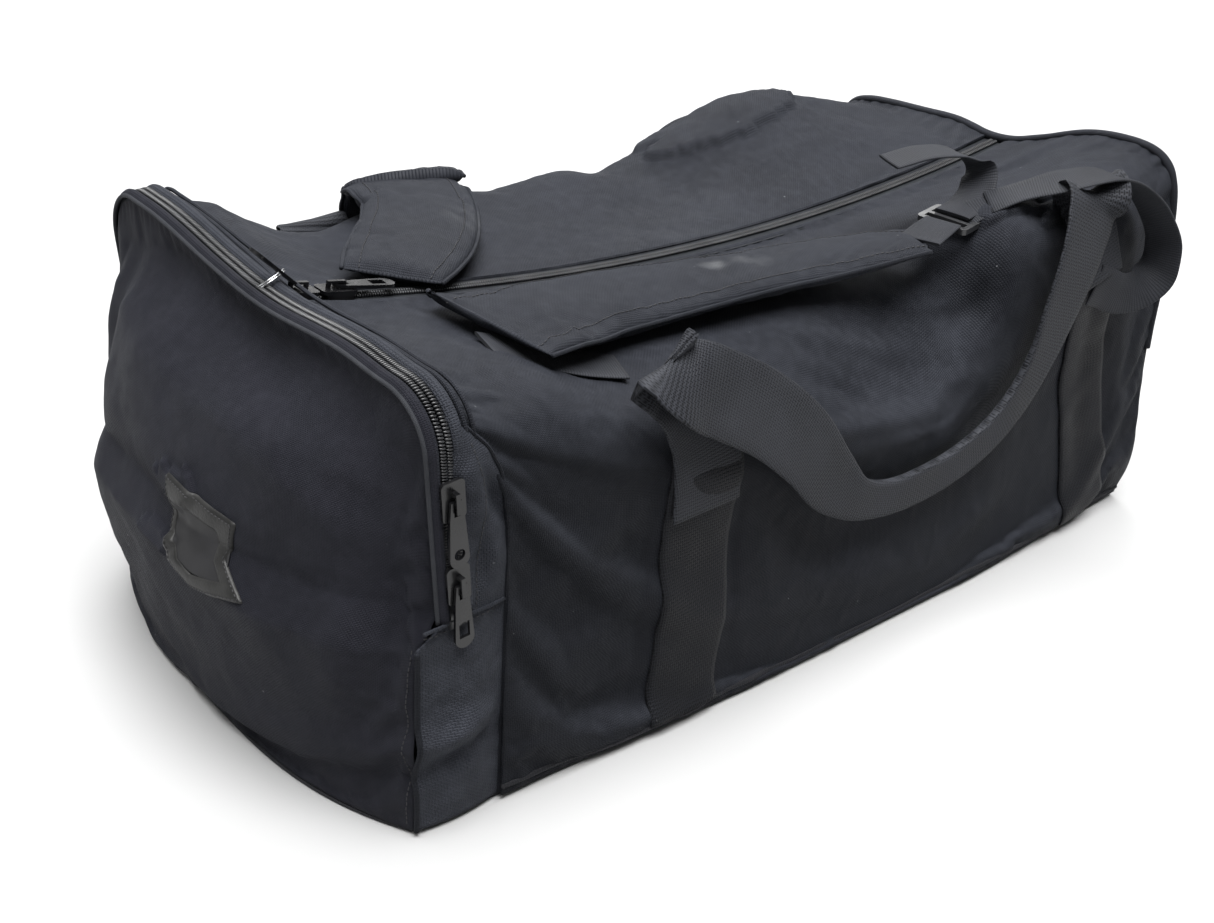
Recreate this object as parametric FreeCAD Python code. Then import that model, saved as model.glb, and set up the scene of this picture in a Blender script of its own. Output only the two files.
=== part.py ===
import FreeCAD, Part
import math
import os

# A soft duffel bag (holdall) with a zipped end pocket, two carry handles and two padded shoulder straps.
# Millimetres. +X along the bag away from the end pocket, -Y the front side, +Z up.
# The origin is on the floor, in the middle between the end seams and between the side walls.

V = FreeCAD.Vector

# Driving dimensions of the bag body
HALF_LENGTH = 310.0        # end seam to the middle
HALF_WIDTH = 160.0         # outer face of a side wall to the middle
CLOTH = 2.0                # lined and padded cloth
FLOOR_GAP = 2.3            # walls start on top of the base cloth
BOARD = (-256.0, 300.0, 148.0, 3.0)   # base board: x limits, half width, thickness
PIPING_R = 1.8             # piping along the foot of each side wall
PIPING_X = (-258.0, 302.0)
WELT_R = 5.0               # rolled seam along the top of the right end
LEFT_SEAM_X = -316.0       # end panel meets the gusset
GUSSET_X = -264.0          # gusset meets the side wall
HINGE_Y = 141.0            # shoulder line where the top panels fold
HINGE_Z = 248.0            # height of the fold axis of the top panels
SHOULDER_DROP = 26.0       # height of the rounded shoulder

# Sagging centre line of the top: an arc in the XZ plane
SAG_X = 20.0               # lowest point along the bag
SAG_Z = 203.0              # its height
SAG_R = 1650.0             # radius of the arc

# Shoulder heights along the bag at y = HINGE_Y
FRONT_SHOULDER = [(-297, 246), (-226, 229), (-150, 213), (0, 208), (110, 224), (200, 243), (308, 243)]
REAR_SHOULDER = [(-297, 246), (-226, 231), (-150, 214), (0, 220), (110, 231), (200, 246), (308, 228)]

# Where the top is fixed and where it opens
BRIDGE_LEFT_X = -296.0
FLAP_LEFT_X = -224.0
FLAP_RIGHT_X = 296.0
TOP_END_X = 307.5          # right end of the top panels, at the end panel
SEAM_GAP = 0.6             # clearance at a fold or an open seam

# End pocket
POCKET_HINGE_Z = 150.0     # fold line of the end flap
POCKET_TOP_Z = 248.0
ZIP_TILT = math.radians(4.8)
ZIP_FOOT_X = -293.0        # end zip line at its lower end
ZIP_FOOT_Z = 128.0
ARCH_R = 28.0              # corner of the end zip arch
TAPE_Y = HALF_WIDTH - 1.6  # inner face of the end zip's tape on the sides
WINDOW = (-76.0, -5.0, 98.0, 146.5)   # y and z limits of the ID window's patch
WINDOW_RIM = 10.0          # width of the patch round its hole

# Zip sizes, number 10 coil
TAPE = 0.8
TAPE_W = 12.0
COIL_H = 3.0
COIL_W = 3.6
CHAIN_GAP = 0.8            # half of the gap between the two rows
SLIDER_L = 21.0
SLIDER_W = 13.0
BAIL_L = 11.0
BAIL_H = 4.0
BAIL_HOLE_L = 7.4
BAIL_HOLE_H = 2.6
PULL_L = 36.0
PULL_W = 11.0
PULL_T = 1.8

# Webbing
WEB_W = 50.0
WEB_T = 2.4
THIN_WEB_W = 28.0
THIN_WEB_T = 1.6
BUCKLE_L = 24.0
BUCKLE_W = 36.0
BUCKLE_T = 3.6

os.makedirs("parts", exist_ok=True)
PARTS = {}


def put(name, shape):
    PARTS[name] = shape


def line(a, b):
    return Part.LineSegment(V(*a), V(*b)).toShape()


def arc(a, m, b):
    return Part.Arc(V(*a), V(*m), V(*b)).toShape()


def box(x0, x1, y0, y1, z0, z1):
    return Part.makeBox(x1 - x0, y1 - y0, z1 - z0, V(x0, y0, z0))


def centre_z(x):
    return SAG_Z + SAG_R - math.sqrt(SAG_R ** 2 - (x - SAG_X) ** 2)


def shoulder_z(x, heights):
    for (x0, z0), (x1, z1) in zip(heights, heights[1:]):
        if x <= x1 or (x1, z1) == heights[-1]:
            t = (x - x0) / (x1 - x0)
            t = min(max(t, 0.0), 1.0)
            s = t * t * (3 - 2 * t)
            return z0 + (z1 - z0) * s
    return heights[-1][1]


def top_z(x, y):
    heights = FRONT_SHOULDER if y < 0 else REAR_SHOULDER
    t = min(abs(y) / HINGE_Y, 1.0)
    return centre_z(x) + (shoulder_z(x, heights) - centre_z(x)) * t


def loft(wires, ruled=False):
    return Part.makeLoft(wires, True, ruled)


# ---------------------------------------------------------------- body shell

def wall_section(x, side, heights):
    top = shoulder_z(x, heights)
    foot = top - SHOULDER_DROP
    y_out = side * HALF_WIDTH
    y_in = side * (HALF_WIDTH - CLOTH)
    y_top = side * (HINGE_Y + SEAM_GAP)
    outer_mid = (x, side * (HALF_WIDTH - 5.5), top - 7.5)
    inner_mid = (x, side * (HALF_WIDTH - 7.0), top - 9.0)
    edges = [
        line((x, y_out, FLOOR_GAP), (x, y_out, foot)),
        arc((x, y_out, foot), outer_mid, (x, y_top, top)),
        line((x, y_top, top), (x, y_top, top - CLOTH)),
        arc((x, y_top, top - CLOTH), inner_mid, (x, y_in, foot)),
        line((x, y_in, foot), (x, y_in, FLOOR_GAP)),
        line((x, y_in, FLOOR_GAP), (x, y_out, FLOOR_GAP)),
    ]
    return Part.Wire(edges)


def side_wall(side, heights):
    x0, x1, steps = GUSSET_X + 0.4, 308.0, 11
    stations = [x0 + (x1 - x0) * i / steps for i in range(steps + 1)]
    return loft([wall_section(x, side, heights) for x in stations])


def flap_section(x, side, y_inner):
    heights = FRONT_SHOULDER if side < 0 else REAR_SHOULDER
    y0, y1 = side * (HINGE_Y - SEAM_GAP), side * y_inner
    z0, z1 = shoulder_z(x, heights), centre_z(x) + TAPE / 2
    points = [(x, y0, z0), (x, y1, z1), (x, y1, z1 - CLOTH), (x, y0, z0 - CLOTH)]
    return Part.makePolygon([V(*p) for p in points + points[:1]])


def top_panel(side, x0, x1, steps):
    stations = [x0 + (x1 - x0) * i / steps for i in range(steps + 1)]
    return loft([flap_section(x, side, CHAIN_GAP + TAPE_W + 0.3) for x in stations])


def end_outline(x_edge, bulge, half, z):
    points = []
    for t in (-1.0, -0.87, -0.68, -0.36, 0.0, 0.36, 0.68, 0.87, 1.0):
        points.append(V(x_edge - bulge * (1 - abs(t) ** 3), t * half, z))
    curve = Part.BSplineCurve()
    curve.interpolate(points)
    return curve.toShape(), points[0], points[-1]


def end_section(x_edge, bulge, z, skin=CLOTH, half=HALF_WIDTH):
    outer, a, b = end_outline(x_edge, bulge, half, z)
    inner, c, d = end_outline(x_edge + skin * 0.3, bulge - skin * 0.7, half - skin, z)
    return Part.Wire([outer, Part.LineSegment(b, d).toShape(), inner, Part.LineSegment(c, a).toShape()])


def solid_section(x_edge, bulge, z, grow=0.0):
    outer, a, b = end_outline(x_edge, bulge + grow, HALF_WIDTH + grow, z)
    return Part.Wire([outer, Part.LineSegment(b, a).toShape()])


# bulge of the end panel at each height, below and above the fold line
LOWER_BULGE = [(FLOOR_GAP, 34.0), (55.0, 46.0), (105.0, 51.0), (POCKET_HINGE_Z - 0.8, 50.0)]
UPPER_BULGE = [(POCKET_HINGE_Z + 0.8, 60.0), (190.0, 50.0), (222.0, 33.0), (POCKET_TOP_Z + 4.0, 8.0)]
FLAP_EDGE_X = -306.0


def make_body():
    outline, a, b = end_outline(LEFT_SEAM_X + 1.2, 33.0, HALF_WIDTH - 2.0, 0)
    right = [(HALF_LENGTH - 1, HALF_WIDTH - 2.0, 0), (HALF_LENGTH - 1, 2.0 - HALF_WIDTH, 0)]
    edges = [outline, line(tuple(b), right[0]), line(right[0], right[1]), line(right[1], tuple(a))]
    put("base_panel", Part.Face(Part.Wire(edges)).extrude(V(0, 0, CLOTH)))
    x0, x1, half, thick = BOARD
    put("base_board", box(x0, x1, -half, half, FLOOR_GAP, FLOOR_GAP + thick))
    put("front_wall", side_wall(-1, FRONT_SHOULDER))
    put("rear_wall", side_wall(1, REAR_SHOULDER))
    put("pocket_divider", box(GUSSET_X - 2.0, GUSSET_X, -157, 157, 6.0, 206))
    right_wires = []
    for z, bulge in ((FLOOR_GAP, 8.0), (120.0, 14.0), (224.0, 7.0)):
        right_wires.append(end_section(0.0, bulge, z))
    panel = loft(right_wires)
    panel.rotate(V(0, 0, 0), V(0, 0, 1), 180)
    panel.translate(V(HALF_LENGTH + 0.5, 0, 0))
    put("right_end_panel", panel)
    put("end_panel_lower", end_panel_lower())
    gusset = gusset_panel()
    put("gusset_front", gusset)
    put("gusset_rear", gusset.mirror(V(0, 0, 0), V(0, 1, 0)))
    rod_front = Part.makeCylinder(WELT_R, 139, V(304.5, -141, 252), V(0, 1, -0.08))
    rod_rear = Part.makeCylinder(WELT_R, 138, V(304.5, 0, 240.5), V(0, 1, -0.03))
    put("right_end_welt", Part.makeCompound([rod_front, rod_rear]))
    put("base_piping", base_piping())


def base_piping():
    rods = []
    for side in (-1, 1):
        start = V(PIPING_X[0], side * (HALF_WIDTH + 2.0), 5)
        rods.append(Part.makeCylinder(PIPING_R, PIPING_X[1] - PIPING_X[0], start, V(1, 0, 0)))
    return Part.makeCompound(rods)


def end_panel_lower():
    body = loft([end_section(LEFT_SEAM_X, bulge, z) for z, bulge in LOWER_BULGE])
    returns = []
    for side in (-1, 1):
        y0, y1 = sorted((side * HALF_WIDTH, side * (HALF_WIDTH - CLOTH)))
        returns.append(box(LEFT_SEAM_X + 1.0, -303.0, y0, y1, ZIP_FOOT_Z, POCKET_HINGE_Z - 0.8))
    return Part.makeCompound([body] + returns)


def gusset_panel():
    y = -HALF_WIDTH
    z_cross = ZIP_FOOT_Z - 1.5
    points = [
        (LEFT_SEAM_X + 1.0, FLOOR_GAP),
        (GUSSET_X, FLOOR_GAP),
        (GUSSET_X, 196.0),
    ]
    edges = [line((a[0], y, a[1]), (b[0], y, b[1])) for a, b in zip(points, points[1:])]
    edges.append(arc((GUSSET_X, y, 196.0), (-272.0, y, 220.0), (-291.0, y, 232.0)))
    rest = [(-291.0, 232.0), (-286.5, z_cross + 3), (-286.5, z_cross), (LEFT_SEAM_X + 1.0, z_cross), points[0]]
    edges += [line((a[0], y, a[1]), (b[0], y, b[1])) for a, b in zip(rest, rest[1:])]
    return Part.Face(Part.Wire(edges)).extrude(V(0, CLOTH, 0))


def make_bridges():
    left, right = [], []
    for side in (-1, 1):
        left.append(top_panel(side, BRIDGE_LEFT_X, FLAP_LEFT_X - SEAM_GAP, 3))
        right.append(top_panel(side, FLAP_RIGHT_X + SEAM_GAP, TOP_END_X, 1))
    put("top_left_bridge", Part.makeCompound(left))
    put("top_right_bridge", Part.makeCompound(right))
    put("top_front_panel", top_panel(-1, FLAP_LEFT_X, FLAP_RIGHT_X, 10))
    put("top_rear_panel", top_panel(1, FLAP_LEFT_X, FLAP_RIGHT_X, 10))


# ---------------------------------------------------------------- main zip, along the sagging arc

def arc_point(x, rise):
    a = math.asin((x - SAG_X) / SAG_R)
    r = SAG_R - rise
    return (SAG_X + r * math.sin(a), 0.0, SAG_Z + SAG_R - r * math.cos(a))


def arc_band(x0, x1, rise0, rise1, y0, y1):
    xm = (x0 + x1) / 2
    edges = [
        arc(arc_point(x0, rise0), arc_point(xm, rise0), arc_point(x1, rise0)),
        line(arc_point(x1, rise0), arc_point(x1, rise1)),
        arc(arc_point(x1, rise1), arc_point(xm, rise1), arc_point(x0, rise1)),
        line(arc_point(x0, rise1), arc_point(x0, rise0)),
    ]
    band = Part.Face(Part.Wire(edges)).extrude(V(0, y1 - y0, 0))
    band.translate(V(0, y0, 0))
    return band


def chain_half(side, x0, x1):
    tape_y = sorted((side * CHAIN_GAP, side * (CHAIN_GAP + TAPE_W)))
    coil_y = sorted((side * CHAIN_GAP, side * (CHAIN_GAP + COIL_W)))
    tape = arc_band(x0, x1, -TAPE / 2, TAPE / 2, *tape_y)
    coil = arc_band(x0, x1, TAPE / 2, TAPE / 2 + COIL_H, *coil_y)
    return tape, coil


def make_main_zip():
    for side, word in ((-1, "front"), (1, "rear")):
        tape, coil = chain_half(side, FLAP_LEFT_X, FLAP_RIGHT_X)
        put("main_zip_tape_" + word, tape)
        put("main_zip_coil_" + word, coil)
    fixed_ends = (("left", BRIDGE_LEFT_X, FLAP_LEFT_X - SEAM_GAP), ("right", FLAP_RIGHT_X + SEAM_GAP, TOP_END_X))
    for word, x0, x1 in fixed_ends:
        halves = chain_half(-1, x0, x1) + chain_half(1, x0, x1)
        put("main_zip_chain_" + word, Part.makeCompound(list(halves)))


def slider_body(flanges):
    """Slider in its own axes: x along the chain, y across, z out of the cloth, 0 at the middle of the tape."""
    half_l, half_w = SLIDER_L / 2, SLIDER_W / 2
    low = -TAPE / 2 - 0.5
    roof = TAPE / 2 + COIL_H + 0.5
    plate = box(-half_l, half_l, -half_w, half_w, roof, roof + 2.0)
    plate = plate.makeFillet(2.5, [e for e in plate.Edges if abs(e.tangentAt(e.FirstParameter).z) > 0.9])
    sole = box(-half_l, half_l, -half_w, half_w, low - 1.6, low)
    sole = sole.makeFillet(2.5, [e for e in sole.Edges if abs(e.tangentAt(e.FirstParameter).z) > 0.9])
    post = box(-2.5, 2.5, -0.5, 0.5, low - 0.1, roof + 0.1)
    body = plate.fuse([sole, post])
    for side in flanges:
        y0, y1 = sorted((side * (half_w - 1.4), side * half_w))
        body = body.fuse(box(2.5 - half_l, half_l - 2.5, y0, y1, TAPE / 2 + 0.4, roof + 0.1))
    arch_z = roof + 2.0
    bail = box(-BAIL_L / 2, BAIL_L / 2, -1.2, 1.2, arch_z - 0.1, arch_z + BAIL_H)
    bail = bail.cut(box(-BAIL_HOLE_L / 2, BAIL_HOLE_L / 2, -2, 2, arch_z, arch_z + BAIL_HOLE_H))
    return body.fuse(bail).removeSplitter()


EYE_Z = TAPE / 2 + COIL_H + 0.5 + 2.0 + 1.3      # where the pull turns under the bail, above the tape


def pull_tab(window_round, window_from=PULL_L - 15):
    """Pull in its own axes: its end bar turns about y at the origin, the tab runs along +x, flat in XY."""
    half = PULL_W / 2
    edges = [
        line((-0.7, -3.0, 0), (9, -4.2, 0)),
        line((9, -4.2, 0), (PULL_L - 5, -half, 0)),
        arc((PULL_L - 5, -half, 0), (PULL_L, 0, 0), (PULL_L - 5, half, 0)),
        line((PULL_L - 5, half, 0), (9, 4.2, 0)),
        line((9, 4.2, 0), (-0.7, 3.0, 0)),
        line((-0.7, 3.0, 0), (-0.7, -3.0, 0)),
    ]
    tab = Part.Face(Part.Wire(edges)).extrude(V(0, 0, PULL_T))
    tab.translate(V(0, 0, -PULL_T / 2))
    tab = tab.cut(box(0.7, 7.2, -1.7, 1.7, -2, 2))
    if window_round:
        return tab.cut(Part.makeCylinder(3.0, 4, V(PULL_L - 7.5, 0, -2)))
    return tab.cut(box(window_from, PULL_L - 6, -3.0, 3.0, -2, 2))


def place(shape, origin, x_dir, z_dir):
    """Move a shape from its own axes to origin, with its x and z along the given directions."""
    x = V(*x_dir).normalize()
    z = V(*z_dir).normalize()
    y = z.cross(x).normalize()
    z = x.cross(y)
    m = FreeCAD.Matrix(x.x, y.x, z.x, origin[0], x.y, y.y, z.y, origin[1], x.z, y.z, z.z, origin[2], 0, 0, 0, 1)
    moved = shape.copy()
    moved.Placement = FreeCAD.Placement(m)
    return moved


PROP = (math.cos(math.radians(45)), math.sin(math.radians(45)))     # the left pull leans on the end seam
RING_R = 10.5
RING_WIRE = 0.9
RING_UP = V(0.447, -0.68, 0.583).normalize()
RING_NORMAL = V(-0.32, 0.49, 0.81)
SLIDER_LEFT_X = -284.0
SLIDER_RIGHT_X = -261.5


def make_main_sliders():
    for word, x in (("left", SLIDER_LEFT_X), ("right", SLIDER_RIGHT_X)):
        a = math.asin((x - SAG_X) / SAG_R)
        along = (math.cos(a), 0, math.sin(a))
        up = (-math.sin(a), 0, math.cos(a))
        foot = arc_point(x, 0)
        put("main_slider_" + word, place(slider_body((-1, 1)), foot, along, up))
        eye = arc_point(x, EYE_Z)
        if word == "right":
            put("main_pull_right", place(pull_tab(False), eye, along, up))
        else:
            tab = pull_tab(False, 10.0)
            put("main_pull_left", place(tab, eye, (-PROP[0], 0, PROP[1]), (PROP[1], 0, PROP[0])))
            hook = V(eye[0] - 13.0 * PROP[0], 0, eye[2] + 13.0 * PROP[1])
            put("split_ring", Part.makeTorus(RING_R, RING_WIRE, hook - RING_UP * RING_R, RING_NORMAL))


# ---------------------------------------------------------------- end zip, round the arch

def zip_frame(shape):
    """From the arch's own plane (chain line at x = 0) to its place on the bag."""
    moved = shape.copy()
    moved.rotate(V(0, 0, ZIP_FOOT_Z), V(0, 1, 0), -math.degrees(ZIP_TILT))
    moved.translate(V(ZIP_FOOT_X, 0, 0))
    return moved


def arch_wire(rise, z_foot):
    half = TAPE_Y + rise
    top = POCKET_TOP_Z + rise
    r = ARCH_R + rise
    k = r * (1 - math.sqrt(0.5))
    return [
        line((0, -half, z_foot), (0, -half, top - r)),
        arc((0, -half, top - r), (0, -half + k, top - k), (0, -half + r, top)),
        line((0, -half + r, top), (0, half - r, top)),
        arc((0, half - r, top), (0, half - k, top - k), (0, half, top - r)),
        line((0, half, top - r), (0, half, z_foot)),
    ]


def arch_band(rise0, rise1, x0, x1, z_foot):
    inner, outer = arch_wire(rise0, z_foot), arch_wire(rise1, z_foot)
    half0, half1 = TAPE_Y + rise0, TAPE_Y + rise1
    edges = outer + [line((0, half1, z_foot), (0, half0, z_foot))] + inner
    edges.append(line((0, -half0, z_foot), (0, -half1, z_foot)))
    band = Part.Face(Part.Wire(Part.__sortEdges__(edges))).extrude(V(x1 - x0, 0, 0))
    band.translate(V(x0, 0, 0))
    return band


def arch_solid(rise, x0, x1, z_foot):
    half = TAPE_Y + rise
    edges = arch_wire(rise, z_foot) + [line((0, half, z_foot), (0, -half, z_foot))]
    block = Part.Face(Part.Wire(Part.__sortEdges__(edges))).extrude(V(x1 - x0, 0, 0))
    block.translate(V(x0, 0, 0))
    return block


def make_end_zip():
    flap_foot = POCKET_HINGE_Z + 1.5
    bag_side = [(0, TAPE, CHAIN_GAP, CHAIN_GAP + TAPE_W - 7), (TAPE, TAPE + COIL_H, CHAIN_GAP, CHAIN_GAP + COIL_W)]
    tape, coil = [arch_band(a, b, x0, x1, ZIP_FOOT_Z) for a, b, x0, x1 in bag_side]
    put("end_zip_tape_bag", zip_frame(tape))
    put("end_zip_coil_bag", zip_frame(coil))
    tape = arch_band(0, TAPE, -CHAIN_GAP - TAPE_W + 5, -CHAIN_GAP, flap_foot)
    coil = arch_band(TAPE, TAPE + COIL_H, -CHAIN_GAP - COIL_W, -CHAIN_GAP, flap_foot)
    put("end_zip_tape_flap", zip_frame(tape))
    put("end_zip_coil_flap", zip_frame(coil))
    feet = []
    for side in (-1, 1):
        y0, y1 = sorted((side * TAPE_Y, side * (HALF_WIDTH + 2.4)))
        stub = box(-4.4, -CHAIN_GAP, y0, y1, ZIP_FOOT_Z, POCKET_HINGE_Z - 1.0)
        y2, y3 = sorted((side * (HALF_WIDTH + 0.3), side * (HALF_WIDTH + 3.0)))
        stop = box(-5.5, 5.5, y2, y3, ZIP_FOOT_Z - 4.5, ZIP_FOOT_Z - 0.3)
        feet += [zip_frame(stub), zip_frame(stop)]
    put("end_zip_feet", Part.makeCompound(feet))


def zip_point(x, y, z):
    """A point of the arch's own plane in the bag's frame."""
    dz = z - ZIP_FOOT_Z
    c, s = math.cos(ZIP_TILT), math.sin(ZIP_TILT)
    return (ZIP_FOOT_X + x * c - dz * s, y, ZIP_FOOT_Z + x * s + dz * c)


SLIDER_UPPER_Z = 196.0
SLIDER_LOWER_Z = 149.0


def make_end_sliders():
    along = (-math.sin(ZIP_TILT), 0, math.cos(ZIP_TILT))
    down = (math.sin(ZIP_TILT), 0, -math.cos(ZIP_TILT))
    tape_y = -(TAPE_Y + TAPE / 2)
    for word, z, round_window in (("upper", SLIDER_UPPER_Z, True), ("lower", SLIDER_LOWER_Z, False)):
        body = place(slider_body((1,)), zip_point(0, tape_y, z), along, (0, -1, 0))
        put("end_slider_" + word, body)
        eye = zip_point(0, tape_y - EYE_Z, z)
        put("end_pull_" + word, place(pull_tab(round_window), eye, down, (0, -1, 0)))


# ---------------------------------------------------------------- end flap

def make_end_flap():
    outer = loft([solid_section(FLAP_EDGE_X + 3.0, bulge, z) for z, bulge in UPPER_BULGE])
    inner = loft([solid_section(FLAP_EDGE_X + 6.0, bulge, z, -CLOTH) for z, bulge in UPPER_BULGE])
    outer = outer.common(arch_solid(1.4, -420, -200, POCKET_HINGE_Z + 0.8))
    inner = inner.common(arch_solid(1.4 - CLOTH, -420, -200, POCKET_HINGE_Z + 0.5))
    shell = outer.cut(inner)
    keep = zip_frame(box(-120, -CHAIN_GAP - TAPE_W + 4.6, -200, 200, 140, 270))
    put("end_flap_panel", shell.common(keep))
    put("end_flap_piping", zip_frame(arch_band(3.2, 5.4, -11.0, -8.8, POCKET_HINGE_Z + 2.0)))


def panel_patch(y0, y1, z0, z1, rise, thick):
    """A patch that follows the bulge of the lower end panel."""
    outer = loft([solid_section(LEFT_SEAM_X, bulge, z, rise + thick) for z, bulge in LOWER_BULGE])
    inner = loft([solid_section(LEFT_SEAM_X, bulge, z, rise) for z, bulge in LOWER_BULGE])
    return outer.cut(inner).common(box(-420, LEFT_SEAM_X - 20, y0, y1, z0, z1))


def make_id_window():
    y0, y1, z0, z1 = WINDOW
    rim, slack = WINDOW_RIM, 0.5
    plate = panel_patch(y0, y1, z0, z1, 0.3, 1.4)
    hole = box(-420, LEFT_SEAM_X, y0 + rim, y1 - rim, z0 + rim, z1 - rim)
    put("id_window_frame", plate.cut(hole))
    inset = rim + slack
    put("id_window_film", panel_patch(y0 + inset, y1 - inset, z0 + inset, z1 - inset, 0.4, 0.5))


# ---------------------------------------------------------------- webbing and straps

def ribbon(stations):
    """A strap through stations of (centre, width direction, face direction, width, thickness)."""
    wires = []
    for centre, across, face, width, thick in stations:
        c, w = V(*centre), V(*across).normalize()
        n = V(*face)
        n = (n - w * n.dot(w)).normalize()
        a, b = w * (width / 2), n * (thick / 2)
        corners = [c - a - b, c + a - b, c + a + b, c - a + b]
        wires.append(Part.makePolygon(corners + corners[:1]))
    strap = loft(wires, True)
    return strap if strap.Volume > 0 else strap.reversed()


LEG_FOOT_Z = 13.5          # lowest stitch of a handle leg


def leg(side, x_foot, x_top, z_top):
    """A handle leg sewn flat to the side wall, from the base to the shoulder."""
    y = side * (HALF_WIDTH + 0.3 + WEB_T / 2)
    out = (0, side, 0)
    across = V(z_top - LEG_FOOT_Z, 0, x_foot - x_top).normalize()
    w = (across.x, 0, across.z)
    return ribbon([((x_foot, y, LEG_FOOT_Z), w, out, WEB_W, WEB_T), ((x_top, y, z_top), w, out, WEB_W, WEB_T)])


def make_handles():
    put("front_leg_left", leg(-1, -140, -135, 180))
    put("front_leg_right", leg(-1, 250, 206, 214))
    put("rear_leg_left", leg(1, -184, -181, 180))
    put("rear_leg_right", leg(1, 172, 168, 214))
    grip_w, grip_t = 25.0, 6.0
    flat, up, out = (1, 0, 0.1), (0, 0, 1), (0, -1, 0)
    front = [
        ((-134, -166.5, 206), flat, (0, -0.7, 0.7), 48, WEB_T),
        ((-108, -173, 192), (0.8, 0, 0.6), (0, -0.9, 0.4), 48, WEB_T),
        ((-74, -176, 160), (0.72, 0, 0.69), out, 42, WEB_T),
        ((-46, -177, 126), (0.6, 0, 0.8), out, 30, 5.0),
        ((-6, -177, 105), up, out, grip_w, grip_t),
        ((42, -177, 103), up, out, grip_w, grip_t),
        ((92, -177, 113), (-0.25, 0, 0.97), out, grip_w, grip_t),
        ((130, -177, 138), (-0.64, 0, 0.77), out, grip_w, grip_t),
        ((152, -177, 168), (-0.85, 0, 0.5), out, 28, 5.0),
        ((170, -177, 200), (-0.92, 0, 0.4), out, 42, WEB_T),
        ((188, -173, 228), (-0.97, 0, 0.2), (0, -0.9, 0.4), 48, WEB_T),
        ((201, -167.5, 247), (-1, 0, -0.1), (0, -0.7, 0.7), 48, WEB_T),
    ]
    put("front_handle", ribbon(front))
    out = (0, 1, 0)
    rear = [
        ((-181, 166.5, 203), flat, (0, 0.7, 0.7), 48, WEB_T),
        ((-178, 174, 186), (1, 0, 0.05), (0, 0.9, 0.4), 48, WEB_T),
        ((-171, 178, 150), (1, 0, 0.2), out, 40, WEB_T),
        ((-155, 178, 118), (0.85, 0, 0.5), out, 28, 5.0),
        ((-122, 178, 96), (0.35, 0, 0.94), out, grip_w, grip_t),
        ((-60, 178, 88), up, out, grip_w, grip_t),
        ((10, 178, 87), up, out, grip_w, grip_t),
        ((80, 178, 92), (-0.1, 0, 0.99), out, grip_w, grip_t),
        ((128, 178, 108), (-0.45, 0, 0.9), out, grip_w, grip_t),
        ((152, 178, 142), (-0.9, 0, 0.43), out, 30, 5.0),
        ((163, 177, 188), (-1, 0, 0.2), out, 42, WEB_T),
        ((168, 169.5, 236), (-1, 0, 0.0), (0, 0.8, 0.6), 48, WEB_T),
    ]
    put("rear_handle", ribbon(rear))


def on_top(x, y, rise):
    return (x, y, top_z(x, y) + rise)


def pad_stations(route, thick):
    """Stations of a shoulder pad from (centre, width) pairs, its width level and square to the route."""
    stations = []
    for i, (centre, width) in enumerate(route):
        a = V(*route[max(i - 1, 0)][0])
        b = V(*route[min(i + 1, len(route) - 1)][0])
        run = (b - a).normalize()
        across = V(0, 0, 1).cross(run).normalize()
        stations.append((centre, tuple(across), tuple(run.cross(across)), width, thick))
    return stations


PAD_T = 10.0               # thickness of a shoulder pad


def make_front_strap():
    rise = PAD_T / 2 + 3.6
    route = [
        (on_top(-212, -73, rise + 3), 92.0),
        (on_top(-140, -61, rise + 3), 72.0),
        (on_top(-55, -66, rise + 8), 64.0),
        (on_top(20, -84, rise + 10), 58.0),
        (on_top(66, -104, rise + 8), 50.0),
        (on_top(84, -113, rise + 5), 44.0),
    ]
    put("front_shoulder_pad", ribbon(pad_stations(route, PAD_T)))
    anchor = [((-220, -92, top_z(-220, -92) + 3.1), (0, 1, 0.12), (0, 0, 1), 36, 1.6),
              ((-152, -116, top_z(-152, -116) + 3.2), (0, 1, 0.06), (0, 0, 1), 32, 1.6)]
    put("front_strap_anchor", ribbon(anchor))
    start = on_top(97, -112, 14)
    end = on_top(103.5, -111, 15)
    put("front_pad_webbing", ribbon([(start, (0, 1, 0), (0, 0, 1), THIN_WEB_W, THIN_WEB_T),
                                     (end, (0, 1, 0), (0, 0, 1), THIN_WEB_W, THIN_WEB_T)]))
    ladder = place(buckle_plate(), on_top(118, -108, 16), (1, 0.1, 0.1), (0, 0, 1))
    put("front_buckle", ladder)
    tail = [
        (on_top(133, -106, 18), (0, 1, 0), (0, 0, 1), 25, THIN_WEB_T),
        ((150, -101, 250), (0, 1, 0), (-0.5, 0, 0.86), 25, THIN_WEB_T),
        ((156, -95, 260), (0, 1, 0), (-1, 0, 0), 25, THIN_WEB_T),
        ((146, -87, 268), (0.15, 1, 0), (-0.5, 0, -0.86), 25, THIN_WEB_T),
        ((124, -78, 270), (0.25, 1, 0), (0.1, 0, -1), 25, THIN_WEB_T),
        ((98, -68, 265), (0.3, 1, 0), (0.2, 0, -1), 25, THIN_WEB_T),
    ]
    put("front_strap_tail", ribbon(tail))


def buckle_plate():
    """Ladder-lock buckle in its own axes: webbing runs along x, bars across y."""
    half_l, half_w, half_t = BUCKLE_L / 2, BUCKLE_W / 2, BUCKLE_T / 2
    frame = box(-half_l, half_l, -half_w, half_w, -half_t, half_t)
    frame = frame.makeFillet(3.0, [e for e in frame.Edges if abs(e.tangentAt(e.FirstParameter).z) > 0.9])
    for x0, x1 in ((-8.5, -3.5), (-0.5, 3.5), (6.0, 9.5)):
        frame = frame.cut(box(x0, x1, -14.5, 14.5, -3, 3))
    return frame


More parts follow.
